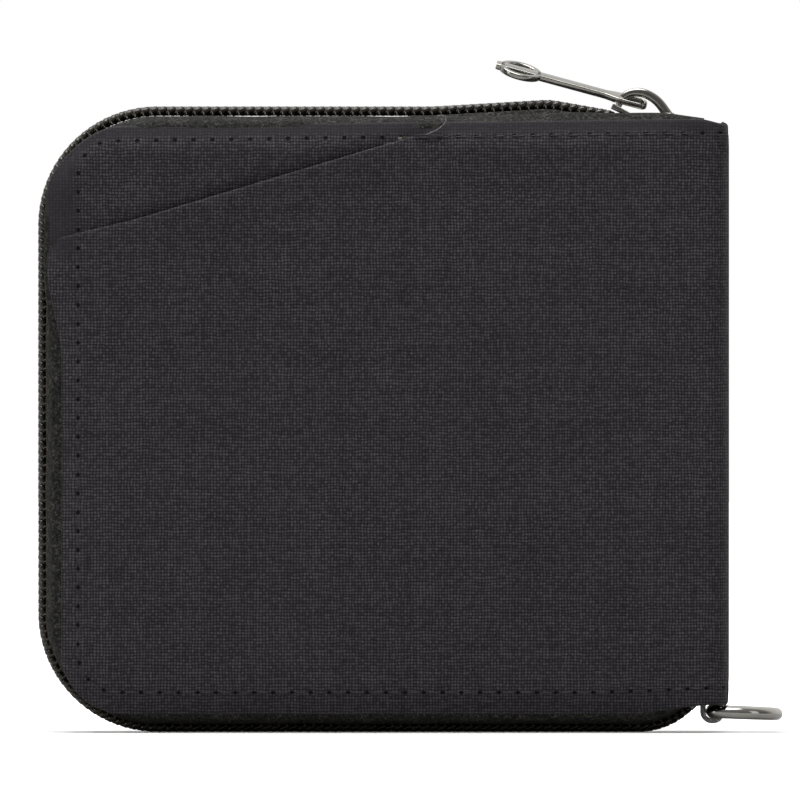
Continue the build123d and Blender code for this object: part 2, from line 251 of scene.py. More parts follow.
def linear(hexValue):
    # an sRGB hex colour as linear red, green, blue and alpha
    parts = np.array([int(hexValue[i:i + 2], 16) for i in (1, 3, 5)]) / 255
    parts = np.where(parts <= 0.04045, parts / 12.92, ((parts + 0.055) / 1.055) ** 2.4)
    return (*parts.tolist(), 1.0)


def addNode(tree, kind, *inputs, output=0, stops=(), **settings):
    # one node with its settings; its inputs in order or by name are values, other outputs, or None
    made = tree.nodes.new("ShaderNode" + kind)
    for key, value in settings.items():
        setattr(made, key, value)
    for key, value in inputs[0].items() if inputs and isinstance(inputs[0], dict) else enumerate(inputs):
        if isinstance(value, bpy.types.NodeSocket):
            tree.links.new(value, made.inputs[key])
        elif value is not None:
            made.inputs[key].default_value = value
    for number, (place, colour) in enumerate(stops):
        band = made.color_ramp.elements
        element = band[number] if number < len(band) else band.new(place)
        element.position, element.color = place, linear(colour)
    return made.outputs[output]


def newMaterial(name, settings):
    material = bpy.data.materials.new(name)
    material.use_nodes = True
    tree = material.node_tree
    shader = next(n for n in tree.nodes if n.type == "BSDF_PRINCIPLED")
    for key, value in settings.items():
        shader.inputs[key].default_value = value
    return material, tree, shader


def plainWeave(tree, place, pitch):
    # warp and weft swap over at each crossing: height of the upper thread, and how light each crossing is
    waver = addNode(tree, "TexNoise", place, None, 0.35, 2.0, output="Color")
    waver = addNode(tree, "VectorMath", waver, (0.5, 0.5, 0.5), operation="SUBTRACT")
    waver = addNode(tree, "VectorMath", {"Vector": waver, "Scale": 0.5}, operation="SCALE")
    wavering = addNode(tree, "VectorMath", place, waver, operation="ADD")
    counted = addNode(tree, "VectorMath", {"Vector": wavering, "Scale": 1 / pitch}, operation="SCALE")
    u = addNode(tree, "SeparateXYZ", counted, output="X")
    v = addNode(tree, "SeparateXYZ", counted, output="Y")
    heights = []
    for a, b, flip in ((u, v, 0.0), (v, u, 1.0)):
        turn = addNode(tree, "Math", a, math.pi, operation="MULTIPLY")
        turn = addNode(tree, "Math", turn, operation="SINE")
        crown = addNode(tree, "Math", turn, operation="ABSOLUTE")
        crown = addNode(tree, "Math", crown, 0.7, operation="POWER")
        step = addNode(tree, "Math", a, operation="FLOOR")
        step = addNode(tree, "Math", step, flip - 0.5, operation="ADD")
        phase = addNode(tree, "Math", b, step, operation="ADD")
        phase = addNode(tree, "Math", phase, math.pi, operation="MULTIPLY")
        wave = addNode(tree, "Math", phase, operation="COSINE")
        lift = addNode(tree, "Math", wave, 0.5, 0.5, operation="MULTIPLY_ADD")
        heights.append(addNode(tree, "Math", crown, lift, operation="MULTIPLY"))
    height = addNode(tree, "Math", *heights, operation="MAXIMUM")
    crossing = addNode(tree, "VectorMath", counted, operation="FLOOR")
    chance = addNode(tree, "TexWhiteNoise", crossing, noise_dimensions="3D")
    warp = addNode(tree, "Math", u, operation="FLOOR")
    warp = addNode(tree, "TexWhiteNoise", None, warp, noise_dimensions="1D")
    weft = addNode(tree, "Math", v, operation="FLOOR")
    weft = addNode(tree, "TexWhiteNoise", None, weft, noise_dimensions="1D")
    threads = addNode(tree, "Math", warp, weft, operation="ADD")
    return height, addNode(tree, "Math", threads, 0.22, chance, operation="MULTIPLY_ADD")


# 600 denier polyester plain weave, piece dyed: matt, with random light flecks; each thread's crown is painted
# lighter as painted light, and the gaps between threads painted darker as painted shade
def wovenPolyester(name, look):
    material, tree, shader = newMaterial(
        name,
        {"Roughness": look["roughness"], "IOR": 1.5, "Specular IOR Level": 0.2, "Sheen Weight": look["sheen"],
         "Sheen Roughness": 0.45},
    )
    place = addNode(tree, "Attribute", output="Vector", attribute_name="weave")
    height, chance = plainWeave(tree, place, look["pitch"])
    weight = addNode(tree, "Math", chance, look["fleck"], 0.55, operation="MULTIPLY_ADD")
    # the colour follows the thread's height: painted light on each crown, painted shade in the gaps between
    # threads; the weight is a random tone
    shade = addNode(tree, "Math", height, weight, operation="MULTIPLY")
    cloud = addNode(tree, "TexNoise", place, None, 0.12, 3.0)
    shade = addNode(tree, "Math", cloud, 0.15, shade, operation="MULTIPLY_ADD")
    long = addNode(tree, "Mapping", {"Vector": place, "Scale": (0.3, 2.1, 1.0)})
    slub = addNode(tree, "TexNoise", long, None, 1.0, 2.0)
    shade = addNode(tree, "Math", slub, 0.25, shade, operation="MULTIPLY_ADD")
    shade = addNode(tree, "Math", shade, -0.2, operation="ADD")
    if look.get("seam"):
        # the margin outside the stitches is pressed smooth where the third number of the seam says so
        sewn = addNode(tree, "Attribute", output="Vector", attribute_name="seam")
        pressed = addNode(tree, "SeparateXYZ", sewn, output="Z")
        smoothShade = addNode(tree, "Math", shade, 0.25, look["pressed"], operation="MULTIPLY_ADD")
        shade = addNode(tree, "Mix", {0: pressed, 2: shade, 3: smoothShade}, data_type="FLOAT")
        raised = addNode(tree, "MapRange", pressed, 0.0, 1.0, 1.0, 0.15)
        height = addNode(tree, "Math", height, raised, operation="MULTIPLY")
    stops = [(0.04, look["dark"]), (0.42, look["middle"]), (0.98, look["light"])]
    colour = addNode(tree, "ValToRGB", shade, stops=stops)
    if look.get("seam"):
        # the needle's holes: every pitch along the stitch line, each painted near black as the shade inside
        # it, and dented
        along = addNode(tree, "SeparateXYZ", sewn, output="X")
        away = addNode(tree, "SeparateXYZ", sewn, output="Y")
        beat = addNode(tree, "Math", along, look["seam"] / 2, operation="PINGPONG")
        reach = addNode(tree, "CombineXYZ", beat, addNode(tree, "Math", away, 1.2, operation="MULTIPLY"))
        reach = addNode(tree, "VectorMath", reach, operation="LENGTH", output="Value")
        hole = addNode(tree, "MapRange", reach, look["hole"] * 0.6, look["hole"], 1.0, 0.0)
        # painted shade: near black inside each hole
        colour = addNode(tree, "Mix", {0: hole, 6: colour, 7: linear("#020202")}, output=2, data_type="RGBA")
        height = addNode(tree, "Math", hole, -2.0, height, operation="MULTIPLY_ADD")
    bump = addNode(tree, "Bump", {"Distance": look["relief"] * metres, "Height": height})
    tree.links.new(colour, shader.inputs["Base Color"])
    tree.links.new(bump, shader.inputs["Normal"])
    return material


# herringbone tape of spun polyester: dull, with broken light flecks of random tone, and the slanting ribs'
# crowns painted a little lighter as painted light
def herringboneTape(name, look):
    material, tree, shader = newMaterial(
        name,
        {"Roughness": 0.85, "IOR": 1.5, "Specular IOR Level": 0.12, "Sheen Weight": look["sheen"],
         "Sheen Roughness": 0.5},
    )
    place = addNode(tree, "Attribute", output="Vector", attribute_name="weave")
    across = addNode(tree, "SeparateXYZ", place, output="Y")
    zigzag = addNode(tree, "Math", across, look["rib"], operation="PINGPONG")
    slant = addNode(tree, "Math", addNode(tree, "SeparateXYZ", place), zigzag, operation="ADD")
    rib = addNode(tree, "Math", addNode(
        tree, "Math", slant, 2 * math.pi / look["pitch"], operation="MULTIPLY"), operation="SINE")
    height = addNode(tree, "Math", rib, 0.5, 0.5, operation="MULTIPLY_ADD")
    solid = addNode(tree, "TexCoord", output="Object")
    fleck = addNode(tree, "TexNoise", solid, None, look["grain"] / metres, 2.0)
    patch = addNode(tree, "TexNoise", solid, None, 0.5 / metres, 2.0)
    # the ribs' height lightens their crowns a little: painted light
    shade = addNode(tree, "Math", fleck, 1.6, addNode(tree, "Math", height, 0.2, operation="MULTIPLY"),
                    operation="MULTIPLY_ADD")
    shade = addNode(tree, "Math", patch, 0.5, shade, operation="MULTIPLY_ADD")
    shade = addNode(tree, "Math", shade, -0.7, operation="ADD")
    stops = [(0.05, look["dark"]), (0.5, look["middle"]), (0.95, look["light"])]
    colour = addNode(tree, "ValToRGB", shade, stops=stops)
    bump = addNode(tree, "Bump", {"Distance": look["relief"] * metres, "Height": shade})
    tree.links.new(colour, shader.inputs["Base Color"])
    tree.links.new(bump, shader.inputs["Normal"])
    return material


# grosgrain: fine ribs across the tape with a low gloss from its roughness; each rib is painted lighter at its
# crest and darker in its groove, as painted highlight and painted shade
def ribbedTape(name, look):
    material, tree, shader = newMaterial(name, {"Roughness": 0.62, "IOR": 1.5, "Sheen Weight": 0.25})
    place = addNode(tree, "Attribute", output="Vector", attribute_name="weave")
    along = addNode(tree, "SeparateXYZ", place)
    turn = addNode(tree, "Math", along, 2 * math.pi / look["pitch"], operation="MULTIPLY")
    rib = addNode(tree, "Math", turn, operation="SINE")
    height = addNode(tree, "Math", rib, 0.5, 0.5, operation="MULTIPLY_ADD")
    # painted highlight on each rib's crest, painted shade in the groove between ribs
    colour = addNode(tree, "ValToRGB", height, stops=[(0.0, look["dark"]), (1.0, look["light"])])
    bump = addNode(tree, "Bump", {"Distance": look["relief"] * metres, "Height": height})
    tree.links.new(colour, shader.inputs["Base Color"])
    tree.links.new(bump, shader.inputs["Normal"])
    return material


# a moulded, drawn or spun material whose colour and gloss drift a little over the piece
def mottled(name, settings, look):
    material, tree, shader = newMaterial(name, settings)
    place = addNode(tree, "TexCoord", output="Object")
    cloud = addNode(tree, "TexNoise", place, None, look["scale"] / metres, 4.0)
    colour = addNode(tree, "ValToRGB", cloud, stops=[(0.3, look["dark"]), (0.7, look["light"])])
    tree.links.new(colour, shader.inputs["Base Color"])
    if "gloss" in look:
        drift = addNode(tree, "MapRange", cloud, 0.3, 0.7, *look["gloss"])
        tree.links.new(drift, shader.inputs["Roughness"])
    if "grain" in look:
        bump = addNode(tree, "Bump", {"Strength": 0.5, "Distance": look["grain"] * metres, "Height": cloud})
        tree.links.new(bump, shader.inputs["Normal"])
    return material


outerLook = {
    "pitch": 0.49, "dark": "#181718", "middle": "#29272a", "light": "#575357", "fleck": 0.4,
    "roughness": 0.82, "sheen": 0.05, "relief": 0.09,
}
# 600 denier polyester, plain weave with a waterproof coating behind: dull charcoal with grey flecks
outerCloth = wovenPolyester("woven_polyester_600d", outerLook | {"seam": 3.0, "hole": 0.44, "pressed": 0.34})
innerOuter = wovenPolyester("woven_polyester_card_slots", outerLook)
# nylon taffeta lining, woven finer than this in fact: blue-grey with a low gloss
liningCloth = wovenPolyester("nylon_taffeta_lining", {
    "pitch": 0.42, "dark": "#17191c", "middle": "#2c3036", "light": "#474d55", "fleck": 0.3,
    "roughness": 0.55, "sheen": 0.2, "relief": 0.06,
})
# zip tape of textured polyester yarn: charcoal with broken light flecks
zipTapeCloth = herringboneTape("spun_polyester_zip_tape", {
    "rib": 0.9, "pitch": 0.5, "grain": 2.1, "dark": "#131312", "middle": "#2a2a28", "light": "#55534f",
    "sheen": 0.0, "relief": 0.12,
})
# heather webbing of two yarns: light grey with dark flecks
webbingCloth = herringboneTape("heather_polyester_webbing", {
    "rib": 0.8, "pitch": 0.5, "grain": 2.4, "dark": "#5a5a59", "middle": "#b5b4b1", "light": "#f2f0ec",
    "sheen": 0.3, "relief": 0.14,
})
# grosgrain binding, ribbed black polyester
bindingTape = ribbedTape("grosgrain_binding", {
    "pitch": 0.55, "dark": "#0c0c0d", "light": "#2c2c2e", "relief": 0.08,
})
# drawn nylon monofilament: near black with an olive cast and wet-looking highlights
coilNylon = mottled(
    "drawn_nylon_coil", {"Roughness": 0.24, "IOR": 1.53},
    {"dark": "#14120c", "light": "#332e20", "scale": 0.6, "gloss": (0.16, 0.34)})
# spun polyester sewing thread, dyed with the cloth: dull, hardly lighter than it
sewingThread = mottled(
    "spun_polyester_thread", {"Roughness": 0.75, "IOR": 1.5, "Sheen Weight": 0.1},
    {"dark": "#151416", "light": "#2f2c30", "scale": 3.0, "grain": 0.05})
# chain stitch that holds the coil: textured polyester, brownish grey
bindingThread = mottled(
    "polyester_chain_stitch", {"Roughness": 0.6, "IOR": 1.5, "Sheen Weight": 0.2},
    {"dark": "#2a2823", "light": "#5f5b52", "scale": 2.0, "grain": 0.03})
# loose end of undyed thread: dusty grey
paleThread = mottled(
    "undyed_binding_thread", {"Roughness": 0.7, "IOR": 1.5, "Sheen Weight": 0.3},
    {"dark": "#4a4844", "light": "#7f7b74", "scale": 3.0, "grain": 0.05})
# die-cast zinc with a black nickel plating: dark mirror with bright edges
gunmetal = mottled(
    "nickel_plated_zinc_dark", {"Metallic": 1.0, "Roughness": 0.2},
    {"dark": "#8f8c86", "light": "#aaa7a0", "scale": 0.25, "gloss": (0.08, 0.18)})
# bent steel wire, polished and nickel plated: bright mirror
brightNickel = mottled(
    "polished_nickel_wire", {"Metallic": 1.0, "Roughness": 0.12},
    {"dark": "#a19e98", "light": "#bab7b0", "scale": 0.2, "gloss": (0.08, 0.18)})
# stamped aluminium, tumbled: soft grey shine
stopMetal = mottled(
    "stamped_aluminium_stop", {"Metallic": 1.0, "Roughness": 0.35},
    {"dark": "#6f6e6a", "light": "#8b8984", "scale": 0.6, "gloss": (0.28, 0.42)})
# recycled grey board: dull, with a faint fibre mottle
greyBoard = mottled(
    "recycled_grey_board", {"Roughness": 0.9, "IOR": 1.5},
    {"dark": "#77736a", "light": "#928d82", "scale": 1.2, "grain": 0.08})
# coated polyester round the window: black, nearly smooth
frameCloth = mottled(
    "coated_polyester_window_frame", {"Roughness": 0.7, "IOR": 1.5, "Sheen Weight": 0.1},
    {"dark": "#1c1b1c", "light": "#2e2c2e", "scale": 2.2, "grain": 0.1})
# calendered vinyl film: clear, with a soft gloss
clearVinyl = mottled(
    "calendered_clear_vinyl", {"Roughness": 0.08, "IOR": 1.53, "Transmission Weight": 0.92},
    {"dark": "#e4e8ea", "light": "#f5f7f8", "scale": 0.05, "gloss": (0.05, 0.14)})
print("materials made:", len(bpy.data.materials))


fold = {"radius": 2.9}  # outside of the bend between a cover and the spine
startX = case["panelFore"] - 5
sectionLine = roundedLine(
    [(startX, case["half"]), (case["spine"], case["half"]), (case["spine"], 0.0)], [fold["radius"]], 0.05
)
sectionWay = unit(np.gradient(sectionLine, axis=0))
sectionPlace = startX + distances(sectionLine)  # equals X on the flat of a cover
clothEnd = sectionPlace[-1]  # the spine's middle


def onCover(u, z, depth, side):
    # the point at u along the cover and spine, at height z, sunk by depth below the outside
    x = np.interp(u, sectionPlace, sectionLine[:, 0])
    y = np.interp(u, sectionPlace, sectionLine[:, 1])
    wayX = np.interp(u, sectionPlace, sectionWay[:, 0])
    wayY = np.interp(u, sectionPlace, sectionWay[:, 1])
    normal = np.stack([-wayY, side * wayX, 0 * u], axis=-1)
    point = np.stack([x, side * y, z + 0 * u], axis=-1) - normal * np.asarray(depth)[..., None]
    along = np.stack([wayX, side * wayY, 0 * u], axis=-1)
    return point, normal, along


hemRadius = 0.42  # half the thickness of a folded edge
clothFore = case["panelFore"] + hemRadius


def upperEdge(u):
    ends = np.array([case["panelHigh"], case["spineHigh"]]) - hemRadius
    straight = np.interp(u, [case["panelFore"], case["panelSpine"]], ends)
    return straight - case["spineDip"] * smooth((u - case["spine"] + 5) / 5)


def lowerEdge(u):
    rise = smooth((u - case["spine"] + case["riseStart"]) / (case["riseStart"] - 1))
    return case["panelLow"] + rise * (case["spineLow"] - 0.4 - case["panelLow"]) + hemRadius


def edgeReach(u, z, fore):
    # distance inward from the cover's outline, up to the corner radius, and the way out to it
    radius = case["panelCorner"]
    upper, lower = upperEdge(u) - z, z - lowerEdge(u)
    sideways = np.maximum(radius - (u - fore), 0)
    upright = np.maximum(radius - np.minimum(upper, lower), 0)
    reach = radius - np.hypot(sideways, upright)
    out = np.stack([-sideways, np.where(upper < lower, upright, -upright)], axis=-1)
    return reach, unit(out)


def foreBulge(z):
    # the fore-edge of the cover stands closer to the zip below its upper corner
    return 2.3 * smooth((z - 59) / 16) * smooth((95 - z) / 10)


def bulged(u, z):
    # where a place of the flat outline goes when the fore-edge bulges; it fades out inwards
    return u - foreBulge(z) * (1 - smooth((u - clothFore) / 14))


cover = {
    "roll": 1.15,  # how far the seam pulls the edge of a cover down
    "rollWidth": 3.1,
    "stitchPull": 0.16,
    "hemWidth": 3.5,
    "clothWall": 0.3,
}


def coverDepth(u, z, seam):
    # the edge rolls under, the stitches draw a groove in it, and the face is not quite flat
    reach, _ = edgeReach(u, z, clothFore)
    rolled = cover["roll"] * np.clip(1 - reach / cover["rollWidth"], 0, 1) ** 1.7
    groove = cover["stitchPull"] * np.exp(-((seam[..., 1] / 0.55) ** 2))
    swell = 0.1 * np.sin(u * 0.071 + 0.6) * np.sin(z * 0.083 + 0.4) + 0.05 * np.sin(u * 0.19 + z * 0.13)
    flat = smooth((case["spine"] - 4 - u) / 10)
    return rolled * (0.12 + 0.88 * flat) + groove * (0.3 + 0.7 * flat) + swell * flat


# stitch line of a cover, in u and z
stitchRows = {
    "fore": -52.9, "end": 47.1, "upperFore": 94.0, "upperSpine": 95.45,
    "lower": 6.4, "lowerSpine": 7.1, "upperCorner": 5.6, "lowerCorner": 6.3, "pitch": 3.0,
}
stitchLine = roundedLine(
    [
        (stitchRows["end"], stitchRows["lowerSpine"]), (30.0, stitchRows["lower"]),
        (stitchRows["fore"], stitchRows["lower"]), (stitchRows["fore"], stitchRows["upperFore"]),
        (stitchRows["end"], stitchRows["upperSpine"]),
    ],
    [8.0, stitchRows["lowerCorner"], stitchRows["upperCorner"]],
    0.25,
)


def seamPlace(u, z):
    # length along the stitch line to its nearest point, the distance inside it, and how far the cloth
    # outside it is pressed smooth: all of it at the top, none of it below the pocket's mouth
    flatU, flatZ = u.ravel(), z.ravel()
    length = distances(stitchLine)
    ways = unit(np.gradient(stitchLine, axis=0))
    along, away = np.empty(flatU.size), np.empty(flatU.size)
    for chunk in np.array_split(np.arange(flatU.size), max(flatU.size // 4000, 1)):
        gap = np.hypot(flatU[chunk, None] - stitchLine[:, 0], flatZ[chunk, None] - stitchLine[:, 1])
        near = gap.argmin(axis=1)
        offU, offZ = flatU[chunk] - stitchLine[near, 0], flatZ[chunk] - stitchLine[near, 1]
        along[chunk] = length[near] + offU * ways[near, 0] + offZ * ways[near, 1]
        away[chunk] = offU * ways[near, 1] - offZ * ways[near, 0]
    pressed = smooth((-away - 0.2) / 0.7) * smooth((flatZ - 73) / 5)
    return np.stack([along, away, pressed], axis=-1).reshape(*u.shape, 3)


def coverColumns(start, end):
    # close together round the fore corners and the fold, wider on the flat
    radius = case["panelCorner"]
    turned = start + radius * (1 - np.cos(np.linspace(0, math.pi / 2, 15)))
    foldStart = case["spine"] - fold["radius"] - 0.5
    if end < foldStart:
        return np.concatenate([turned, np.arange(turned[-1] + 1.1, end, 1.1), [end]])
    flat = np.linspace(turned[-1], foldStart, int((foldStart - turned[-1]) / 1.1))[1:]
    bend = np.linspace(foldStart, clothEnd - 6.5, 14)[1:]
    return np.concatenate([turned, flat, bend, np.linspace(clothEnd - 6.5, clothEnd, 8)[1:]])


def coverSheet(name, side, end, mouth=None, sunk=0.0, lift=None, tuckUnder=None):
    # a grid of columns between the lower and upper edges of the cloth, with a turned hem round its edges
    fore = clothFore
    radius = case["panelCorner"]
    u = coverColumns(fore, end)
    inFromFore = np.clip(u - fore, 0, radius)
    cornerCut = radius - np.sqrt(np.maximum(radius**2 - (radius - inFromFore) ** 2, 0))
    low = lowerEdge(u) + cornerCut
    high = upperEdge(u) - cornerCut
    overMouth = np.zeros(len(u), bool)
    if mouth is not None:
        mouthHigh = np.interp(u, mouth[:, 0], mouth[:, 1])
        overMouth = mouthHigh < high
        high = np.minimum(high, mouthHigh)
    rows = np.linspace(0, 1, 96)
    gridU = np.repeat(u[:, None], len(rows), axis=1)
    gridZ = low[:, None] + (high - low)[:, None] * rows
    shiftedU = bulged(gridU, gridZ)
    seam = seamPlace(shiftedU, gridZ)
    depth = coverDepth(gridU, gridZ, seam) + sunk
    if lift is not None:
        depth = depth - lift(gridU, gridZ)
    if tuckUnder is not None:
        inset = tuckUnder(gridU, gridZ)
        shiftedU = shiftedU + inset * (1 - smooth((gridU - fore) / 10))
        gridZ = gridZ + inset * (1 - smooth((gridZ - low[:, None]) / 10))
    face, normal, alongWay = onCover(shiftedU, gridZ, depth, side)

    # the edge in order: along the top from the spine, down the fore-edge, along the bottom
    count, last = len(u), len(rows) - 1
    edgeI = np.concatenate([np.arange(count - 1, -1, -1), np.zeros(last - 1, int), np.arange(count)])
    edgeJ = np.concatenate([np.full(count, last), np.arange(last - 1, 0, -1), np.zeros(count, int)])
    edge, edgeNormal, edgeAlong = face[edgeI, edgeJ], normal[edgeI, edgeJ], alongWay[edgeI, edgeJ]
    edgeZ = low[edgeI] + (high - low)[edgeI] * rows[edgeJ]
    _, out = edgeReach(u[edgeI], edgeZ, fore)
    if mouth is not None:
        slope = np.gradient(high, u)
        mouthOut = unit(np.stack([-slope, np.ones(count)], axis=-1))
        onMouth = (edgeJ == last) & overMouth[edgeI]
        out[onMouth] = mouthOut[edgeI][onMouth]
    outWay = out[:, :1] * edgeAlong + out[:, 1:] * np.array([0.0, 0.0, 1.0])
    bend = hemRadius if sunk == 0 else hemRadius * 0.6
    angle = np.linspace(0, math.pi, 8)
    hemOut = np.concatenate([bend * np.sin(angle), -np.array([0.3, 0.7, 1.0]) * cover["hemWidth"]])
    hemIn = np.concatenate([bend * (1 - np.cos(angle)), np.full(3, 2 * bend)])
    hem = edge[:, None] + hemOut[:, None] * outWay[:, None] - hemIn[:, None] * edgeNormal[:, None]

    sheetPlace = np.stack([shiftedU, gridZ, 0 * gridU], axis=-1)
    turned = distances(np.stack([hemOut, hemIn], axis=-1))
    outPlace = np.concatenate([out, np.zeros((len(out), 1))], axis=-1)
    hemPlace = sheetPlace[edgeI, edgeJ][:, None] + turned[:, None] * outPlace[:, None]
    hemSeam = np.repeat(seam[edgeI, edgeJ][:, None], hem.shape[1], axis=1)
    grids = [(face, False, False), (hem, False, False)]
    places = np.concatenate([sheetPlace.reshape(-1, 3), hemPlace.reshape(-1, 3)])
    seams = np.concatenate([seam.reshape(-1, 3), hemSeam.reshape(-1, 3)])
    return pieceFrom(name, grids, {"weave": places, "seam": seams})


def faceOutward(piece, toward):
    # turns the whole open sheet round if its faces look away from a point outside it
    form = bmesh.new()
    form.from_mesh(piece.data)
    bmesh.ops.remove_doubles(form, verts=form.verts, dist=0.004 * metres)
    bmesh.ops.recalc_face_normals(form, faces=form.faces)
    form.faces.ensure_lookup_table()
    target = Vector(toward) * metres
    big = max(form.faces, key=lambda f: f.calc_area())
    if big.normal.dot(target - big.calc_center_median()) < 0:
        bmesh.ops.reverse_faces(form, faces=form.faces)
    form.to_mesh(piece.data)
    form.free()
    return piece


mouth = {
    # fold of the slip pocket's mouth: straight, then pulled up into the seam
    "line": np.array([
        (-62.0, 75.9), (0.9, 94.75), (2.7, 95.0), (4.6, 95.9), (5.9, 97.7), (14.0, 99.5), (120.0, 99.5)]),
    "lift": 0.4,  # the mouth stands off the cloth behind it
    "gape": 0.55,
    "layerGap": 0.62,
}


def mouthLift(u, z):
    below = np.interp(u, mouth["line"][:, 0], mouth["line"][:, 1]) - z
    middle = smooth((u - case["panelFore"] - 2) / 18) * smooth((3 - u) / 18)
    sewnFlat = 0.45 * smooth((stitchRows["fore"] - 0.2 - u) / 1.4) * (1 - smooth(below / 4))
    return mouth["lift"] * middle * (1 - smooth(below / 9)) - sewnFlat


def mouthShadow(u, z):
    # the cloth behind sinks away along the mouth, which stands a little open
    below = np.interp(u, mouth["line"][:, 0], mouth["line"][:, 1]) - z
    middle = smooth((u - case["panelFore"] - 1) / 8) * smooth((6 - u) / 6)
    return -mouth["gape"] * middle * np.exp(-((below / 1.1) ** 2))


def underPocket(u, z):
    # the layer behind is cut smaller where the pocket covers it
    below = np.interp(u, mouth["line"][:, 0], mouth["line"][:, 1]) - z
    return 0.9 * smooth((below + 0.5) / 3)


backCloth = coverSheet("back_cover_cloth", -1, clothEnd, mouth=mouth["line"], lift=mouthLift)
backUnder = coverSheet(
    "back_cover_under_layer", -1, 12.0, sunk=mouth["layerGap"], lift=mouthShadow, tuckUnder=underPocket
)
frontCloth = coverSheet("front_cover_cloth", 1, clothEnd)
for cloth, side in ((backCloth, -1), (backUnder, -1), (frontCloth, 1)):
    faceOutward(cloth, (0, side * 400, 50))
    thicken(cloth, cover["clothWall"])
    cloth.data.materials.append(outerCloth)
for cloth, side, label in ((backCloth, -1, "back"), (frontCloth, 1, "front")):
    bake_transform(cloth)
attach(backUnder, "back_cover")
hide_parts("back_slip_pocket", "spine_panel")
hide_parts("back_panel")
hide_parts("front_panel")
print("outer cloth made")


def stitchTubes(path, normals, pitch, gap, sink, rise):
    # each stitch comes up through its hole, lies on the cloth, and goes down at the next hole
    length = distances(path)
    count = int(length[-1] / pitch)
    t = np.linspace(0, 1, 9)
    along = (np.arange(count)[:, None] + gap / 2 / pitch + t * (1 - gap / pitch)) * pitch
    lines = np.stack([np.interp(along, length, axis) for axis in path.T], axis=-1)
    ways = unit(np.stack([np.interp(along, length, axis) for axis in normals.T], axis=-1))
    height = -sink + (sink + rise) * np.sin(np.pi * t) ** 0.35
    return lines + height[:, None] * ways


seamThread = {"radius": 0.14, "gap": 0.75, "sink": 0.28, "rise": 0.03}
seamU, seamZ = stitchLine[:, 0], stitchLine[:, 1]
flatU = seamU
for _ in range(8):
    flatU = seamU + (flatU - bulged(flatU, seamZ))  # the place that the bulge carries to the stitch line
seamDepth = coverDepth(flatU, seamZ, np.zeros((len(seamU), 3)))
for side, label in ((-1, "back"), (1, "front")):
    points, normals, _ = onCover(seamU, seamZ, seamDepth, side)
    if side < 0:
        behind = seamZ > np.interp(seamU, mouth["line"][:, 0], mouth["line"][:, 1])
        points = points - normals * (mouth["layerGap"] * behind)[:, None]
    lines = stitchTubes(
        points, normals, stitchRows["pitch"], seamThread["gap"], seamThread["sink"], seamThread["rise"])
    seamPiece = thread(label + "_seam_thread", lines, seamThread["radius"], 6, (0, 1, 0.01))
    seamPiece.data.materials.append(sewingThread)
    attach(seamPiece, label + "_cover")

# bar tacks where the seam ends at the spine, and at the upper end of the pocket's mouth
barTack = {"count": 9, "step": 0.17, "reach": 2.6, "radius": 0.13}


def tackLines(u, z, reach, count, step, side, sink=0.1):
    t = np.linspace(-0.5, 0.5, 12)
    rows = np.arange(count)[:, None]
    gridU = u + reach * t + 0.12 * np.sin(rows * 2.1)
    gridZ = z + (rows - count / 2) * step + 0.05 * np.sin(rows * 1.7 + t * 3)
    depth = sink - 0.42 * np.cos(np.pi * t) ** 0.5
    return onCover(gridU, gridZ, depth + 0 * gridU, side)[0]


for side, label in ((-1, "back"), (1, "front")):
    cornerU = case["spine"] - 0.2
    lines = tackLines(cornerU, 94.6, barTack["reach"], barTack["count"], barTack["step"], side)
    tack = thread(label + "_spine_tack", lines, barTack["radius"], 6, (0, 0, 1))
    tack.data.materials.append(sewingThread)
    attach(tack, "spine")
lines = tackLines(2.9, 95.1, 4.4, 3, 0.2, -1, 0.34)
mouthTack = thread("pocket_mouth_tack", lines, 0.11, 6, (0, 0, 1))
mouthTack.data.materials.append(sewingThread)
endLine = softLine([
    (2.2, -10.9, 95.1), (3.4, -11.15, 95.6), (4.6, -11.2, 96.2), (5.6, -11.1, 97.2), (5.7, -10.9, 97.9),
    (5.1, -10.75, 98.4), (4.2, -10.7, 98.2)], 0.15)
threadEnd = thread("pocket_thread_end", endLine[None], 0.075, 6, (0, 1, 0))
threadEnd.data.materials.append(paleThread)
for piece in (mouthTack, threadEnd):
    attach(piece, "back_cover")
print("seams sewn")

zipPlan = {
    "top": 0.3,  # the chain stands this much above the line of its tape
    "corner": 19.0, "hump": 1.1, "humpStart": 47.0, "humpTop": 28.3, "mouthDrop": 0.3,
    "tuckStart": 9.3, "tuckLength": 5.0, "tuckAngle": 43.0, "tuckRadius": 12.0,
    "channelDrop": 1.9, "lip": 3.2, "chainEnd": 5.4, "spread": 1.0,
    "pitch": 1.4, "wire": 0.45, "coilMiddle": 1.34, "coilHalf": 0.98, "coilDepth": 1.6,
    "flattened": 0.36,  # the wire is wider than it is thick, by this share, along the chain
}
chainTop = case["high"] + zipPlan["top"]
tuck = math.radians(zipPlan["tuckAngle"])
tuckCorner = np.array([case["spine"] - zipPlan["tuckStart"], 0.0])
lowerEnd = tuckCorner + zipPlan["tuckLength"] * np.array([math.cos(tuck), math.sin(tuck)])
loopPoints = [tuple(lowerEnd), tuple(tuckCorner), (case["fore"], 0.0)]
loopRadii = [zipPlan["tuckRadius"], zipPlan["corner"], zipPlan["corner"]]
tailX, noseX = sliderLow[0], sliderHigh[0]
levelX = tailX + zipPlan["lip"]
channelTop = case["high"] - zipPlan["channelDrop"]
partX = levelX + 0.9
endX = case["spine"] - zipPlan["chainEnd"]
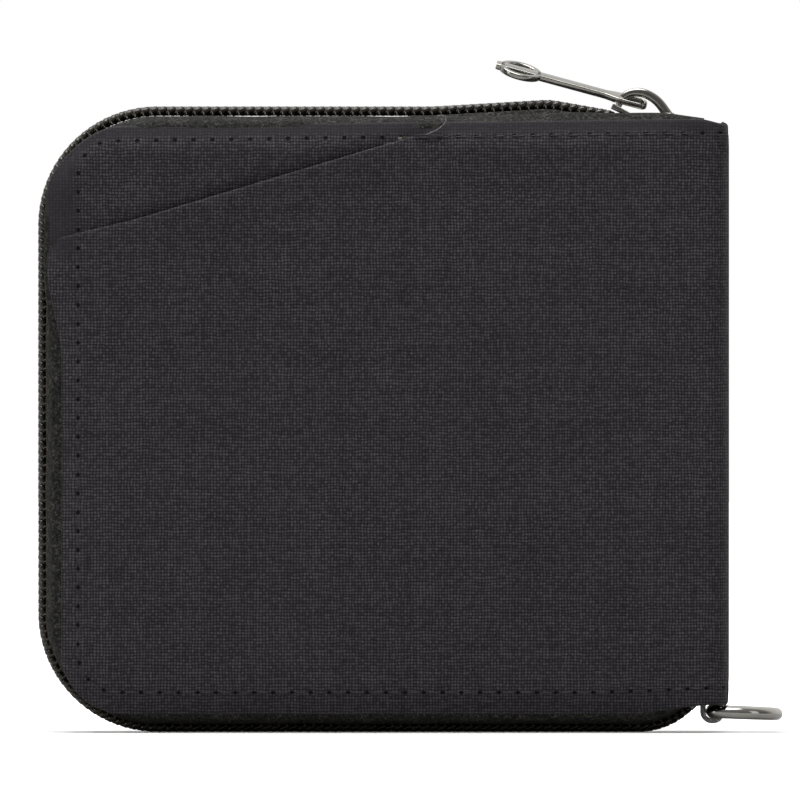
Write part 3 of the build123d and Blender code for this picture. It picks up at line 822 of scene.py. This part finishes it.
chainLine = roundedLine(
    loopPoints + [
        (case["fore"], chainTop), (case["spine"] - zipPlan["humpStart"], chainTop),
        (case["spine"] - zipPlan["humpTop"], chainTop + zipPlan["hump"]),
        (tailX, case["high"] - zipPlan["mouthDrop"]), (levelX, channelTop), (endX, channelTop)],
    loopRadii + [60.0, 12.0, 6.0, 3.0], 0.2,
)
wallLine = roundedLine(
    loopPoints + [
        (case["fore"], case["high"]), (noseX - 1.5, case["high"]),
        (case["spine"] - 3.6, case["spineHigh"] + 0.85)],
    loopRadii + [20.0], 0.5,
)


def pathFrame(line):
    # way along a line in X and Z, and the way inward, to the right of it
    way = unit(np.gradient(line, axis=0))
    return way, np.stack([way[:, 1], -way[:, 0]], axis=-1)


def coilLines(side):
    # a flattened helix round the chain's line: across and in depth it turns once per tooth
    length = distances(chainLine)
    _, inward = pathFrame(chainLine)
    turns = int(length[-1] / zipPlan["pitch"])
    angle = np.linspace(0, turns * 2 * math.pi, turns * 16 + 1)
    station = angle / (2 * math.pi) * zipPlan["pitch"] + 0.22 * np.sin(2 * angle)
    centre = np.stack([np.interp(station, length, axis) for axis in chainLine.T], axis=-1)
    inner = unit(np.stack([np.interp(station, length, axis) for axis in inward.T], axis=-1))
    shift = (0 if side < 0 else math.pi)
    swing = np.cos(angle + shift)
    across = zipPlan["coilMiddle"] + zipPlan["coilHalf"] * np.sign(swing) * np.abs(swing) ** 0.6
    parted = (centre[:, 0] > 0) & (centre[:, 1] > case["high"] / 2)
    across = across + zipPlan["spread"] * smooth((centre[:, 0] - partX) / 3) * parted
    half = zipPlan["coilDepth"] / 2
    heave = np.sin(angle + shift)
    depth = half - (half - zipPlan["wire"]) * np.sign(heave) * np.abs(heave) ** 0.6
    x = centre[:, 0] + inner[:, 0] * depth
    z = centre[:, 1] + inner[:, 1] * depth
    return np.stack([x, side * across, z], axis=-1), np.stack([-inner[:, 1], 0 * x, inner[:, 0]], axis=-1)


def coilPiece(name, side):
    # the wire of the coil, widened along the chain as drawn and flattened nylon is
    line, chainWay = coilLines(side)
    sides = 8
    points, faces = tubes(line[None], zipPlan["wire"], sides, (0.3, 0.0, 0.95))
    rings = points.reshape(-1, sides, 3)
    chainWay = np.concatenate([chainWay[:1], chainWay, chainWay[-1:]])[:, None]
    off = rings - rings.mean(axis=1, keepdims=True)
    rings = rings + zipPlan["flattened"] * (off * chainWay).sum(axis=-1, keepdims=True) * chainWay
    return weld(meshPiece(name, rings.reshape(-1, 3), faces), gap=0.001)


tapePlan = {
    "wall": 0.45,
    "middle": [
        (1.2, 1.78), (4.3, 1.78), (5.0, 1.74), (5.6, 1.6), (6.2, 1.56), (6.9, 1.72), (8.2, 2.15), (9.1, 2.6),
        (9.45, 3.2), (9.45, 5.2)],
}


def tapeSheet(side, label):
    # the tape's section, carried along the zip; its inner part follows the chain where that rises or dips
    length = distances(wallLine)
    _, inward = pathFrame(wallLine)
    middle = softLine(tapePlan["middle"], 0.35)
    sectionWays = unit(np.gradient(middle, axis=0))
    off = np.stack([-sectionWays[:, 1], sectionWays[:, 0]], axis=-1) * tapePlan["wall"] / 2
    across = distances(middle)
    ring = np.concatenate([middle + off, (middle - off)[::-1]])
    ringPlace = np.concatenate([across, across[::-1]])
    onTop = (wallLine[:, 0] > 0) & (wallLine[:, 1] > case["high"] / 2)
    onFore = wallLine[:, 0] < case["fore"] + 12
    upperChain = chainLine[chainLine[:, 1] > case["high"] / 2]
    upperChain = upperChain[np.argsort(upperChain[:, 0])]
    rise = np.interp(wallLine[:, 0], upperChain[:, 0], upperChain[:, 1]) - wallLine[:, 1]
    rise = np.where(onTop, rise, 0.0)
    follow = 1 - smooth((ring[:, 0] - 4.6) / 1.0)
    bulge = np.where(onFore, foreBulge(wallLine[:, 1]), 0.0)
    outer = smooth((ring[:, 0] - 6.0) / 3.2)
    ripple = 0.07 * np.sin(length * 0.43) * np.sin(length * 0.117 + 1.0)
    depth = ring[:, 1] - rise[:, None] * follow + ripple[:, None] * (1 - follow)
    depth = depth - bulge[:, None] * outer * 0.5
    # beside the slider the wall's crest stands higher
    crest = smooth((ring[:, 0] - 5.0) / 0.9) * (1 - smooth((ring[:, 0] - 6.8) / 1.6))
    beside = smooth((wallLine[:, 0] - 12) / 14) * onTop
    depth = depth - 0.55 * beside[:, None] * crest
    ys = np.broadcast_to(side * ring[:, 0], depth.shape)
    points = np.stack([
        wallLine[:, None, 0] + inward[:, None, 0] * depth, ys,
        wallLine[:, None, 1] + inward[:, None, 1] * depth
    ], axis=-1)
    closed = (points[[0, -1]] + points[[0, -1], ::-1]) / 2
    points = np.concatenate([closed[:1], points, closed[1:]])
    lengths = np.concatenate([length[:1], length, length[-1:]])
    place = np.stack(np.broadcast_arrays(lengths[:, None], ringPlace[None], 0.0), axis=-1)
    piece = pieceFrom("zip_tape_cloth_" + label, [(points, False, True)], {"weave": place.reshape(-1, 3)})
    return weld(piece)


for side, label in ((-1, "back"), (1, "front")):
    tapePiece = tapeSheet(side, label)
    tapePiece.data.materials.append(zipTapeCloth)
    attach(tapePiece, label + "_cover")
    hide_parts("zip_tape_" + label)
    coil = coilPiece("zip_coil_" + label, side)
    coil.data.materials.append(coilNylon)
    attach(coil, label + "_cover")
    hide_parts("zip_chain_" + label)
print("zip made")

# chain stitches that bind each tooth of the coil to the tape
for side, label in ((-1, "back"), (1, "front")):
    length = distances(chainLine)
    _, inward = pathFrame(chainLine)
    count = int(length[-1] / zipPlan["pitch"]) - 4
    swing = np.linspace(0, 1, 9)
    station = (np.arange(count)[:, None] + (0.5 if side < 0 else 0.0) + 0.35 * swing) * zipPlan["pitch"]
    centre = np.stack([np.interp(station, length, axis) for axis in chainLine.T], axis=-1)
    inner = unit(np.stack([np.interp(station, length, axis) for axis in inward.T], axis=-1))
    across = np.interp(swing, [0, 0.45, 0.75, 1], [1.35, 2.1, 2.62, 2.9]) + 0 * station
    depth = np.interp(swing, [0, 0.2, 0.55, 0.85, 1], [0.35, 0.1, 0.42, 1.2, 1.5])
    parted = (centre[..., 0] > 0) & (centre[..., 1] > case["high"] / 2)
    across = across + zipPlan["spread"] * smooth((centre[..., 0] - partX) / 3) * parted
    lines = np.stack([
        centre[..., 0] + inner[..., 0] * depth, side * across,
        centre[..., 1] + inner[..., 1] * depth], axis=-1)
    binding = thread("zip_binding_thread_" + label, lines, 0.11, 5, (0.3, 0, 0.95))
    binding.data.materials.append(bindingThread)
    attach(binding, label + "_cover")
print("coil bound to its tape")


def rounded(node, name, width, material, body, angle=30):
    # a CAD piece with its flat faces joined and its sharp edges rolled over
    source = frame["nodes"][node]
    piece = bpy.data.objects.new(name, source.data.copy())
    bpy.context.scene.collection.objects.link(piece)
    piece.data.materials.clear()
    form = bmesh.new()
    form.from_mesh(piece.data)
    bmesh.ops.remove_doubles(form, verts=form.verts, dist=0.002 * metres)
    bmesh.ops.dissolve_limit(
        form, angle_limit=math.radians(0.7), verts=form.verts, edges=form.edges, delimit={"NORMAL"}
    )
    bmesh.ops.recalc_face_normals(form, faces=form.faces)
    form.to_mesh(piece.data)
    form.free()
    edge = piece.modifiers.new("edge", "BEVEL")
    edge.width = width * metres
    edge.segments = 3
    edge.limit_method = "ANGLE"
    edge.angle_limit = math.radians(angle)
    edge.use_clamp_overlap = True
    edge.harden_normals = False
    applied(piece)
    piece.data.polygons.foreach_set("use_smooth", np.ones(len(piece.data.polygons), bool))
    piece.data.set_sharp_from_angle(angle=math.radians(28))
    piece.data.materials.append(material)
    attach(piece, body)
    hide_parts(node)
    return piece


rounded("slider_body", "slider_casting", 0.16, gunmetal, "slider")
for stop, body in (("zip_top_stop_back", "back_cover"), ("zip_top_stop_front", "front_cover"),
                   ("zip_bottom_stop", "back_cover")):
    rounded(stop, stop + "_clamp", 0.25, stopMetal, body)

sliderTop = 98.8  # level part of the slider's upper face
pullPlan = {
    "length": 24.6, "thick": 1.0, "wide": 2.1, "lift": 15.2, "roll": 18.0, "above": 1.28,
    "eyeLength": 4.0, "eyeClear": 2.15, "eyeWall": 0.6, "ringOuter": 7.0, "ringInner": 5.0, "ringPlace": 20.6,
    "edge": 0.22,
}


def roundedSection(wide, thick, edge, corners=4):
    # a rectangle's outline with quarter-round corners, as (across, up)
    angle = np.linspace(0, math.pi / 2, corners)
    quarter = np.stack([np.cos(angle), np.sin(angle)], axis=-1) * edge
    quarters = np.arange(4) * math.pi / 2
    turns = [np.array([[math.cos(a), math.sin(a)], [-math.sin(a), math.cos(a)]]) for a in quarters]
    middles = [(1, 1), (-1, 1), (-1, -1), (1, -1)]
    inner = np.array([wide / 2 - edge, thick / 2 - edge])
    return np.concatenate([quarter @ turn + np.array(middle) * inner for turn, middle in zip(turns, middles)])


def sweep(path, ways, up, sections, closed=False):
    # sections (one for each point of the path) stand square to its way, in the across and up directions
    across = unit(np.cross(ways, up))
    rings = path[:, None] + sections[..., :1] * across[:, None] + sections[..., 1:] * up[:, None]
    if closed:
        return rings
    flat = rings.mean(axis=1, keepdims=True)
    first = flat[:1] + (rings[:1] - flat[:1]) * 0
    last = flat[-1:] + (rings[-1:] - flat[-1:]) * 0
    return np.concatenate([first, rings, last])


def turned(points, lift, roll, place):
    # rolls about X, lifts about Y, and moves to its place
    a, b = math.radians(roll), math.radians(lift)
    rollBy = np.array([[1, 0, 0], [0, math.cos(a), -math.sin(a)], [0, math.sin(a), math.cos(a)]])
    liftBy = np.array([[math.cos(b), 0, math.sin(b)], [0, 1, 0], [-math.sin(b), 0, math.cos(b)]])
    return points @ rollBy.T @ liftBy.T + place


def makePull(plan):
    pullPlace = np.array([tailX + 5.5, 0.0, sliderTop + plan["above"]])
    up = np.array([0.0, 0.0, 1.0])
    edge, thick = plan["edge"], plan["thick"]
    # bar: tapers from the eye's width to its own
    x = -np.concatenate([
        [plan["eyeLength"] - 0.2], np.linspace(plan["eyeLength"], plan["eyeLength"] + 3.2, 14),
        np.linspace(plan["eyeLength"] + 4, plan["length"] - 0.3, 12), [plan["length"]]])
    eyeOuter = plan["eyeClear"] + 2 * plan["eyeWall"]
    neck = 1 - smooth((-x - plan["eyeLength"] - 0.1) / 2.8)
    wide = plan["wide"] + (eyeOuter - plan["wide"]) * neck
    tipFit = np.where(-x > plan["length"] - 0.1, 0.86, 1.0)
    sections = np.stack([
        roundedSection(w * t, thick * t, edge) for w, t in zip(wide, tipFit)])
    path = np.stack([x, 0 * x, 0 * x], axis=-1)
    bar = sweep(path, np.tile([-1.0, 0, 0], (len(x), 1)), np.tile(up, (len(x), 1)), sections)
    # eye: a rounded loop of round-edged wire, open for the bail
    eyeHalf = (plan["eyeClear"] + plan["eyeWall"]) / 2
    eyeLine = roundedLine(
        [(-plan["eyeLength"] - 0.3, -eyeHalf), (0.0, -eyeHalf), (0.0, eyeHalf),
         (-plan["eyeLength"] - 0.3, eyeHalf)],
        [0.9, 0.9], 0.2)
    eyePath = np.stack([eyeLine[:, 0], eyeLine[:, 1], 0 * eyeLine[:, 0]], axis=-1)
    eyeWays = unit(np.gradient(eyePath, axis=0))
    eyeSection = np.tile(roundedSection(plan["eyeWall"], thick, 0.3), (len(eyePath), 1, 1))
    eye = sweep(eyePath, eyeWays, np.tile(up, (len(eyePath), 1)), eyeSection)
    # ring: a flat washer with rolled edges
    angle = np.linspace(0, 2 * math.pi, 72, endpoint=False)
    middle = (plan["ringOuter"] + plan["ringInner"]) / 4
    spoke = np.stack([np.cos(angle), np.sin(angle), 0 * angle], axis=-1)
    ringWays = np.stack([-np.sin(angle), np.cos(angle), 0 * angle], axis=-1)
    ringSection = np.tile(
        roundedSection((plan["ringOuter"] - plan["ringInner"]) / 2, thick, 0.28), (len(angle), 1, 1))
    ring = sweep(
        spoke * middle + np.array([-plan["ringPlace"], 0, 0]), ringWays, np.tile(up, (len(angle), 1)),
        ringSection, closed=True)
    parts = [turned(part, plan["lift"], plan["roll"], pullPlace) for part in (bar, eye, ring)]
    piece = pieceFrom("pull_bar_and_ring", [
        (parts[0], False, True), (parts[1], False, True), (parts[2], True, True)])
    weld(piece, gap=0.002)
    piece.data.set_sharp_from_angle(angle=math.radians(40))
    return piece


bailPlan = {
    # middle of the strap from the tail to the nose, from the tail of the slider and its upper face
    "middle": [(1.1, 0.6), (1.7, 2.4), (3.0, 3.25), (4.8, 3.35), (6.4, 2.75), (7.8, 1.65), (9.2, -0.4)],
    "thick": [0.95, 1.45, 1.6],
    "wide": 1.8,
    "edge": 0.5,
}


def upright(pair):
    # pairs in X and Z as points in the wallet's middle plane
    return np.stack([pair[:, 0], 0 * pair[:, 0], pair[:, 1]], axis=-1)


def makeBail(plan):
    # a strap bent into an arch, thicker towards the nose, with rolled edges
    line = softLine(np.array(plan["middle"]) + np.array([tailX, sliderTop]), 0.2)
    way = unit(np.gradient(line, axis=0))
    share = np.linspace(0, 1, len(line))
    thick = np.interp(share, [0, 0.45, 1], plan["thick"])
    sections = np.stack([roundedSection(plan["wide"], t, plan["edge"], 6) for t in thick])
    up = np.stack([-way[:, 1], way[:, 0]], axis=-1)
    rings = sweep(upright(line), upright(way), upright(up), sections)
    return weld(pieceFrom("slider_bail_strap", [(rings, False, True)]))


bail = makeBail(bailPlan)
bail.data.materials.append(gunmetal)
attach(bail, "slider")
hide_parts("slider_bail")

pull = makePull(pullPlan)
pull.data.materials.append(gunmetal)
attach(pull, "pull")
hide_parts("zip_pull")

ringPlan = {"wire": 2.0, "width": 15.0, "depth": 10.3, "inset": 2.4, "height": 3.3, "droop": 2.2}


def makeDRing(plan):
    # a bar, two arms and a half-round bow, in one round wire
    bow = plan["width"] / 2
    arm = plan["depth"] - bow
    sides = roundedLine([(arm, -bow), (0, -bow), (0, bow), (arm, bow)], [1.5, 1.5], 0.2)
    angle = np.linspace(math.pi / 2, -math.pi / 2, 60)[1:-1]
    curve = np.stack([arm + bow * np.cos(angle), bow * np.sin(angle)], axis=-1)
    line = np.concatenate([sides, curve])
    path = np.stack([line[:, 0], line[:, 1], 0 * line[:, 0]], axis=-1)
    ahead, behind = np.roll(path, -1, axis=0), np.roll(path, 1, axis=0)
    ways = unit(ahead - behind)
    turn = np.linspace(0, 2 * math.pi, 20, endpoint=False)
    section = np.stack([np.cos(turn), np.sin(turn)], axis=-1) * plan["wire"] / 2
    up = np.tile([0.0, 0.0, 1.0], (len(path), 1))
    rings = sweep(path, ways, up, np.tile(section, (len(path), 1, 1)), closed=True)
    place = np.array([case["spine"] - plan["inset"], 0.0, plan["height"]])
    return weld(pieceFrom("d_ring_wire", [(turned(rings, plan["droop"], 0, place), True, True)]))


dRing = makeDRing(ringPlan)
dRing.data.materials.append(brightNickel)
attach(dRing, "ring")
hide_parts("d_ring")


def ribbon(name, line, wide, wall):
    # a strip of cloth: a flat section with rounded edges, carried along a line in X and Z
    way, inward = pathFrame(line)
    path = np.stack([line[:, 0], 0 * line[:, 0], line[:, 1]], axis=-1)
    up = np.stack([inward[:, 0], 0 * inward[:, 0], inward[:, 1]], axis=-1)
    section = roundedSection(wide, wall, wall * 0.45, 5)
    rings = sweep(path, np.stack([way[:, 0], 0 * way[:, 0], way[:, 1]], axis=-1), up,
                  np.tile(section, (len(path), 1, 1)))
    length = np.concatenate([[0], distances(line), [distances(line)[-1]]])
    place = np.stack(np.broadcast_arrays(length[:, None], section[None, :, 0], 0.0), axis=-1)
    return weld(pieceFrom(name, [(rings, False, True)], {"weave": place.reshape(-1, 3)}))


barX, barZ = case["spine"] - ringPlan["inset"], ringPlan["height"]
loopWall = 0.8
loopRadius = ringPlan["wire"] / 2 + loopWall / 2 + 0.06
loopLine = roundedLine(
    [(49.65, 12.0), (49.65, barZ + 0.3), (barX + loopRadius, barZ - loopRadius),
     (barX - loopRadius, barZ - loopRadius), (barX - loopRadius, barZ + loopRadius),
     (49.05, barZ + loopRadius + 0.9), (49.05, 12.0)],
    [0.5, 1.3, 1.35, 1.2, 1.0], 0.2)
webbing = ribbon("ring_webbing_loop", loopLine, 9.0, loopWall)
webbing.data.materials.append(webbingCloth)
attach(webbing, "spine")
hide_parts("ring_loop")
print("metal and webbing made")

inside = {
    "corner": 13.7,  # fore corners of the lining
    "bindingWidth": 3.0,
    "hemStitch": 2.6,
}


def innerSheet(name, side, low, high, corner, wall, belly, phase, mouthOpen=False):
    # a cloth wall between two heights; it bellies towards the wallet's middle and waves slightly at its mouth
    radius = max(corner, 0.5)
    turned = low[0] + radius * (1 - np.cos(np.linspace(0, math.pi / 2, 12)))
    u = np.concatenate([turned, np.linspace(turned[-1], high[0], 70)[1:]])
    inFromFore = np.clip(u - low[0], 0, radius)
    cut = radius - np.sqrt(np.maximum(radius**2 - (radius - inFromFore) ** 2, 0))
    bottom = low[2] + cut
    top = high[2] - (0 if mouthOpen else 1) * cut
    rows = np.linspace(0, 1, 56)
    gridU = np.repeat(u[:, None], len(rows), axis=1)
    gridZ = bottom[:, None] + (top - bottom)[:, None] * rows
    reach = np.minimum(gridU - low[0], high[0] - gridU)
    reach = np.minimum(reach, gridZ - low[2])
    reach = reach if mouthOpen else np.minimum(reach, high[2] - gridZ)
    full = smooth(reach / 12)
    wave = 0.5 + 0.5 * np.sin(gridU * 0.13 + phase) * np.sin(gridZ * 0.09 + 2 * phase)
    y = max(abs(low[1]), abs(high[1])) - wall - belly * full * (0.4 + 0.6 * wave)
    edgeRoll = np.exp(-np.clip(reach, 0, None) / 0.35) * wall * 0.25
    y = y + edgeRoll
    if mouthOpen:
        hem = np.exp(-(((top[:, None] - gridZ) - 0.5) / 0.6) ** 4)
        y = y - 0.12 * hem
    points = np.stack([gridU, side * y, gridZ], axis=-1)
    place = np.stack([gridU, gridZ, 0 * gridU], axis=-1)
    piece = pieceFrom(name, [(points, False, False)], {"weave": place.reshape(-1, 3)})
    faceOutward(piece, (0, 0, 50))
    thicken(piece, wall * 0.9)
    return piece, y


def hemThread(name, side, x0, x1, z, y, body):
    # one row of stitches under a mouth
    x = np.linspace(x0, x1, 160)
    path = np.stack([x, side * y + 0 * x, z + 0 * x], axis=-1)
    normals = np.tile([0.0, -side, 0.0], (len(x), 1))
    lines = stitchTubes(path, normals, 2.6, 0.5, 0.16, 0.05)
    piece = thread(name, lines, 0.14, 6, (0, 1, 0.01))
    piece.data.materials.append(sewingThread)
    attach(piece, body)


def innerCloth(node, side, corner, wall, belly, phase, material, mouthOpen, name):
    low, high = corners(node)
    body = "back_cover" if side < 0 else "front_cover"
    piece, y = innerSheet(name, side, low, high, corner, wall, belly, phase, mouthOpen)
    piece.data.materials.append(material)
    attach(piece, body)
    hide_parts(node)
    if mouthOpen:
        edgeY = y[5:-5, -4].min()
        hemHeight = high[2] - inside["hemStitch"]
        hemThread(name + "_hem_thread", side, low[0] + 1.5, high[0] - 1.5, hemHeight, edgeY, body)


for side, label in ((-1, "back"), (1, "front")):
    innerCloth(label + "_lining", side, inside["corner"], 0.35, 0.1, 0.3, liningCloth, False,
               label + "_lining_cloth")
    pocketCorner = inside["corner"] - 4.5
    innerCloth(label + "_note_pocket", side, pocketCorner, 0.35, 0.1, 1.1, liningCloth, True,
               label + "_note_pocket_cloth")
    for number in range(3 if side < 0 else 2, 0, -1):
        innerCloth(f"{label}_card_slot_{number}", side, pocketCorner, 0.35, 0.05 + 0.04 * (4 - number),
                   0.7 * number, innerOuter, True, f"{label}_card_slot_cloth_{number}")


def bindingLoop(side, label):
    # grosgrain folded over the lining's edge: a flat oval section carried round the whole cover
    low, high = corners(label + "_seam_binding")
    half = inside["bindingWidth"] / 2
    spine, fore, bottom, top = high[0] - half, low[0] + half, low[2] + half, high[2] - half
    corner = inside["corner"] - half
    middleX = (spine + fore) / 2
    line = roundedLine(
        [(middleX, bottom), (fore, bottom), (fore, top), (spine, top), (spine, bottom), (middleX, bottom)],
        [corner, corner, 1.6, 1.6], 0.8)[:-1]
    ahead, behind = np.roll(line, -1, axis=0), np.roll(line, 1, axis=0)
    way = unit(ahead - behind)
    section = roundedSection(inside["bindingWidth"], 0.62, 0.28, 5)
    path = np.stack([line[:, 0], 0 * line[:, 0] + (low[1] + high[1]) / 2 - side * 0.08, line[:, 1]], axis=-1)
    ways = np.stack([way[:, 0], 0 * way[:, 0], way[:, 1]], axis=-1)
    rings = sweep(path, ways, np.tile([0.0, -side, 0.0], (len(path), 1)), np.tile(section, (len(path), 1, 1)),
                  closed=True)
    place = np.stack(np.broadcast_arrays(distances(line)[:, None], section[None, :, 0], 0.0), axis=-1)
    piece = weld(pieceFrom(label + "_binding_tape", [(rings, True, True)], {"weave": place.reshape(-1, 3)}))
    piece.data.materials.append(bindingTape)
    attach(piece, label + "_cover")
    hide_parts(label + "_seam_binding")
    inner = evenly(np.concatenate([line, line[:1]]) , 0.5)
    _, inward = pathFrame(inner)
    inner = inner + inward * (half - 0.7)
    lifted = np.stack([inner[:, 0], 0 * inner[:, 0] + path[0, 1] - side * 0.31, inner[:, 1]], axis=-1)
    normals = np.tile([0.0, -side, 0.0], (len(inner), 1))
    lines = stitchTubes(lifted, normals, 2.6, 0.5, 0.16, 0.05)
    sewn = thread(label + "_binding_thread", lines, 0.13, 6, (0, 1, 0.01))
    sewn.data.materials.append(sewingThread)
    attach(sewn, label + "_cover")


bindingLoop(-1, "back")
bindingLoop(1, "front")

# spine lining, window and boards
low, high = corners("spine_lining")
rows = np.linspace(0, 1, 40)
across = np.linspace(low[1], high[1], 24)
gridY, gridZ = np.meshgrid(across, low[2] + (high[2] - low[2]) * rows, indexing="ij")
sink = 0.1 * np.sin(gridZ * 0.2) * np.cos(gridY / high[1] * math.pi / 2)
points = np.stack([low[0] + sink, gridY, gridZ], axis=-1)
spineLining = pieceFrom("spine_lining_cloth", [(points, False, False)],
                        {"weave": np.stack([gridY, gridZ, 0 * gridY], axis=-1).reshape(-1, 3)})
faceOutward(spineLining, (-300, 0, 50))
thicken(spineLining, 0.3)
spineLining.data.materials.append(liningCloth)
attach(spineLining, "spine")
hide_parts("spine_lining")
rounded("id_window_frame", "window_frame_cloth", 0.12, frameCloth, "front_cover")
rounded("id_window", "window_film", 0.06, clearVinyl, "front_cover")
low, high = corners("id_window_frame")
for z in (low[2] + 1.2, high[2] - 1.2):
    hemThread(f"window_thread_{int(z)}", 1, low[0] + 2, high[0] - 2, z, low[1], "front_cover")
for label in ("back", "front"):
    board = frame["nodes"][label + "_board"]
    board.data.materials.clear()
    board.data.materials.append(greyBoard)

print("inside made")

floorPoints = np.array([[(-9000.0, -9000, 0), (-9000, 9000, 0)], [(9000, -9000, 0), (9000, 9000, 0)]])
floorPiece = pieceFrom("floor", [(floorPoints, False, False)])
studio = {
    "nearGlow": 0.12,  # the paper by the wallet, which keeps its contact shadow
    "farGlow": 1.0,
    "shadowEnds": 0.35,  # metres from the wallet
    "front": 0.12,  # dark room on the side that the back cover faces
    "behind": 0.8,  # lit backdrop
    "ceiling": 0.25,
}
# white paper, overexposed where it is looked at; the light that it throws back is that of the dark room
floorPaper, paper, paperShader = newMaterial(
    "white_paper_floor", {"Roughness": 0.9, "Emission Color": (1, 1, 1, 1)})
seen = addNode(paper, "LightPath", output="Is Camera Ray")
spot = addNode(paper, "TexCoord", output="Object")
gone = addNode(paper, "VectorMath", spot, operation="LENGTH", output="Value")
fading = addNode(paper, "MapRange", gone, 0.06, studio["shadowEnds"], studio["nearGlow"], studio["farGlow"])
fibre = addNode(paper, "TexNoise", spot, None, 900.0, 2.0)
sheetTone = addNode(paper, "ValToRGB", fibre, stops=[(0.3, "#f1f1f0"), (0.7, "#f6f6f5")])
roomTone = addNode(paper, "Mix", {0: seen, 6: linear("#b4b4b4"), 7: sheetTone}, output=2, data_type="RGBA")
paper.links.new(roomTone, paperShader.inputs["Base Color"])
shining = addNode(paper, "Math", seen, fading, operation="MULTIPLY")
paper.links.new(shining, paperShader.inputs["Emission Strength"])
floorPiece.data.materials.append(floorPaper)
world = bpy.data.worlds.new("studio")
bpy.context.scene.world = world
world.use_nodes = True
sky = world.node_tree
background = next(n for n in sky.nodes if n.type == "BACKGROUND")
facing = addNode(sky, "TexCoord", output="Generated")
depthWay = addNode(sky, "SeparateXYZ", facing, output="Y")
room = addNode(sky, "MapRange", depthWay, -0.05, 0.5, studio["front"], studio["behind"],
               interpolation_type="SMOOTHSTEP")
upward = addNode(sky, "Math", addNode(sky, "SeparateXYZ", facing, output="Z"), 0.0, operation="MAXIMUM")
glow = addNode(sky, "Math", upward, studio["ceiling"], room, operation="MULTIPLY_ADD")
glow = addNode(sky, "Math", glow, addNode(sky, "LightPath", output="Is Camera Ray"), operation="MAXIMUM")
sky.links.new(glow, background.inputs[1])
background.inputs[0].default_value = (1, 1, 1, 1)


def softBox(name, place, target, wide, high, power):
    lamp = bpy.data.lights.new(name, "AREA")
    lamp.shape = "RECTANGLE"
    lamp.size, lamp.size_y = wide * metres, high * metres
    lamp.energy = power
    made = bpy.data.objects.new(name, lamp)
    made.location = Vector(place) * metres
    made.rotation_euler = (Vector(target) - Vector(place)).to_track_quat("-Z", "Y").to_euler()
    bpy.context.scene.collection.objects.link(made)


middle = (0, 0, 50)
softBox("top_box", (-100, -130, 900), middle, 800, 600, 9.0)
softBox("left_box", (-850, -450, 300), middle, 300, 600, 1.3)
softBox("right_box", (850, -500, 300), middle, 300, 600, 0.5)
view = {"wide": 127.35, "x": -1.66, "z": 53.0, "away": 4000.0}
cameraData = bpy.data.cameras.new("camera")
camera = bpy.data.objects.new("camera", cameraData)
bpy.context.scene.collection.objects.link(camera)
camera.location = Vector((view["x"], -case["half"] - view["away"], view["z"])) * metres
camera.rotation_euler = (math.radians(90), 0, 0)
cameraData.sensor_width = 36
cameraData.lens = 36 * view["away"] / view["wide"]
cameraData.clip_end = 40
bpy.context.scene.camera = camera
bpy.context.scene.view_settings.view_transform = "Standard"
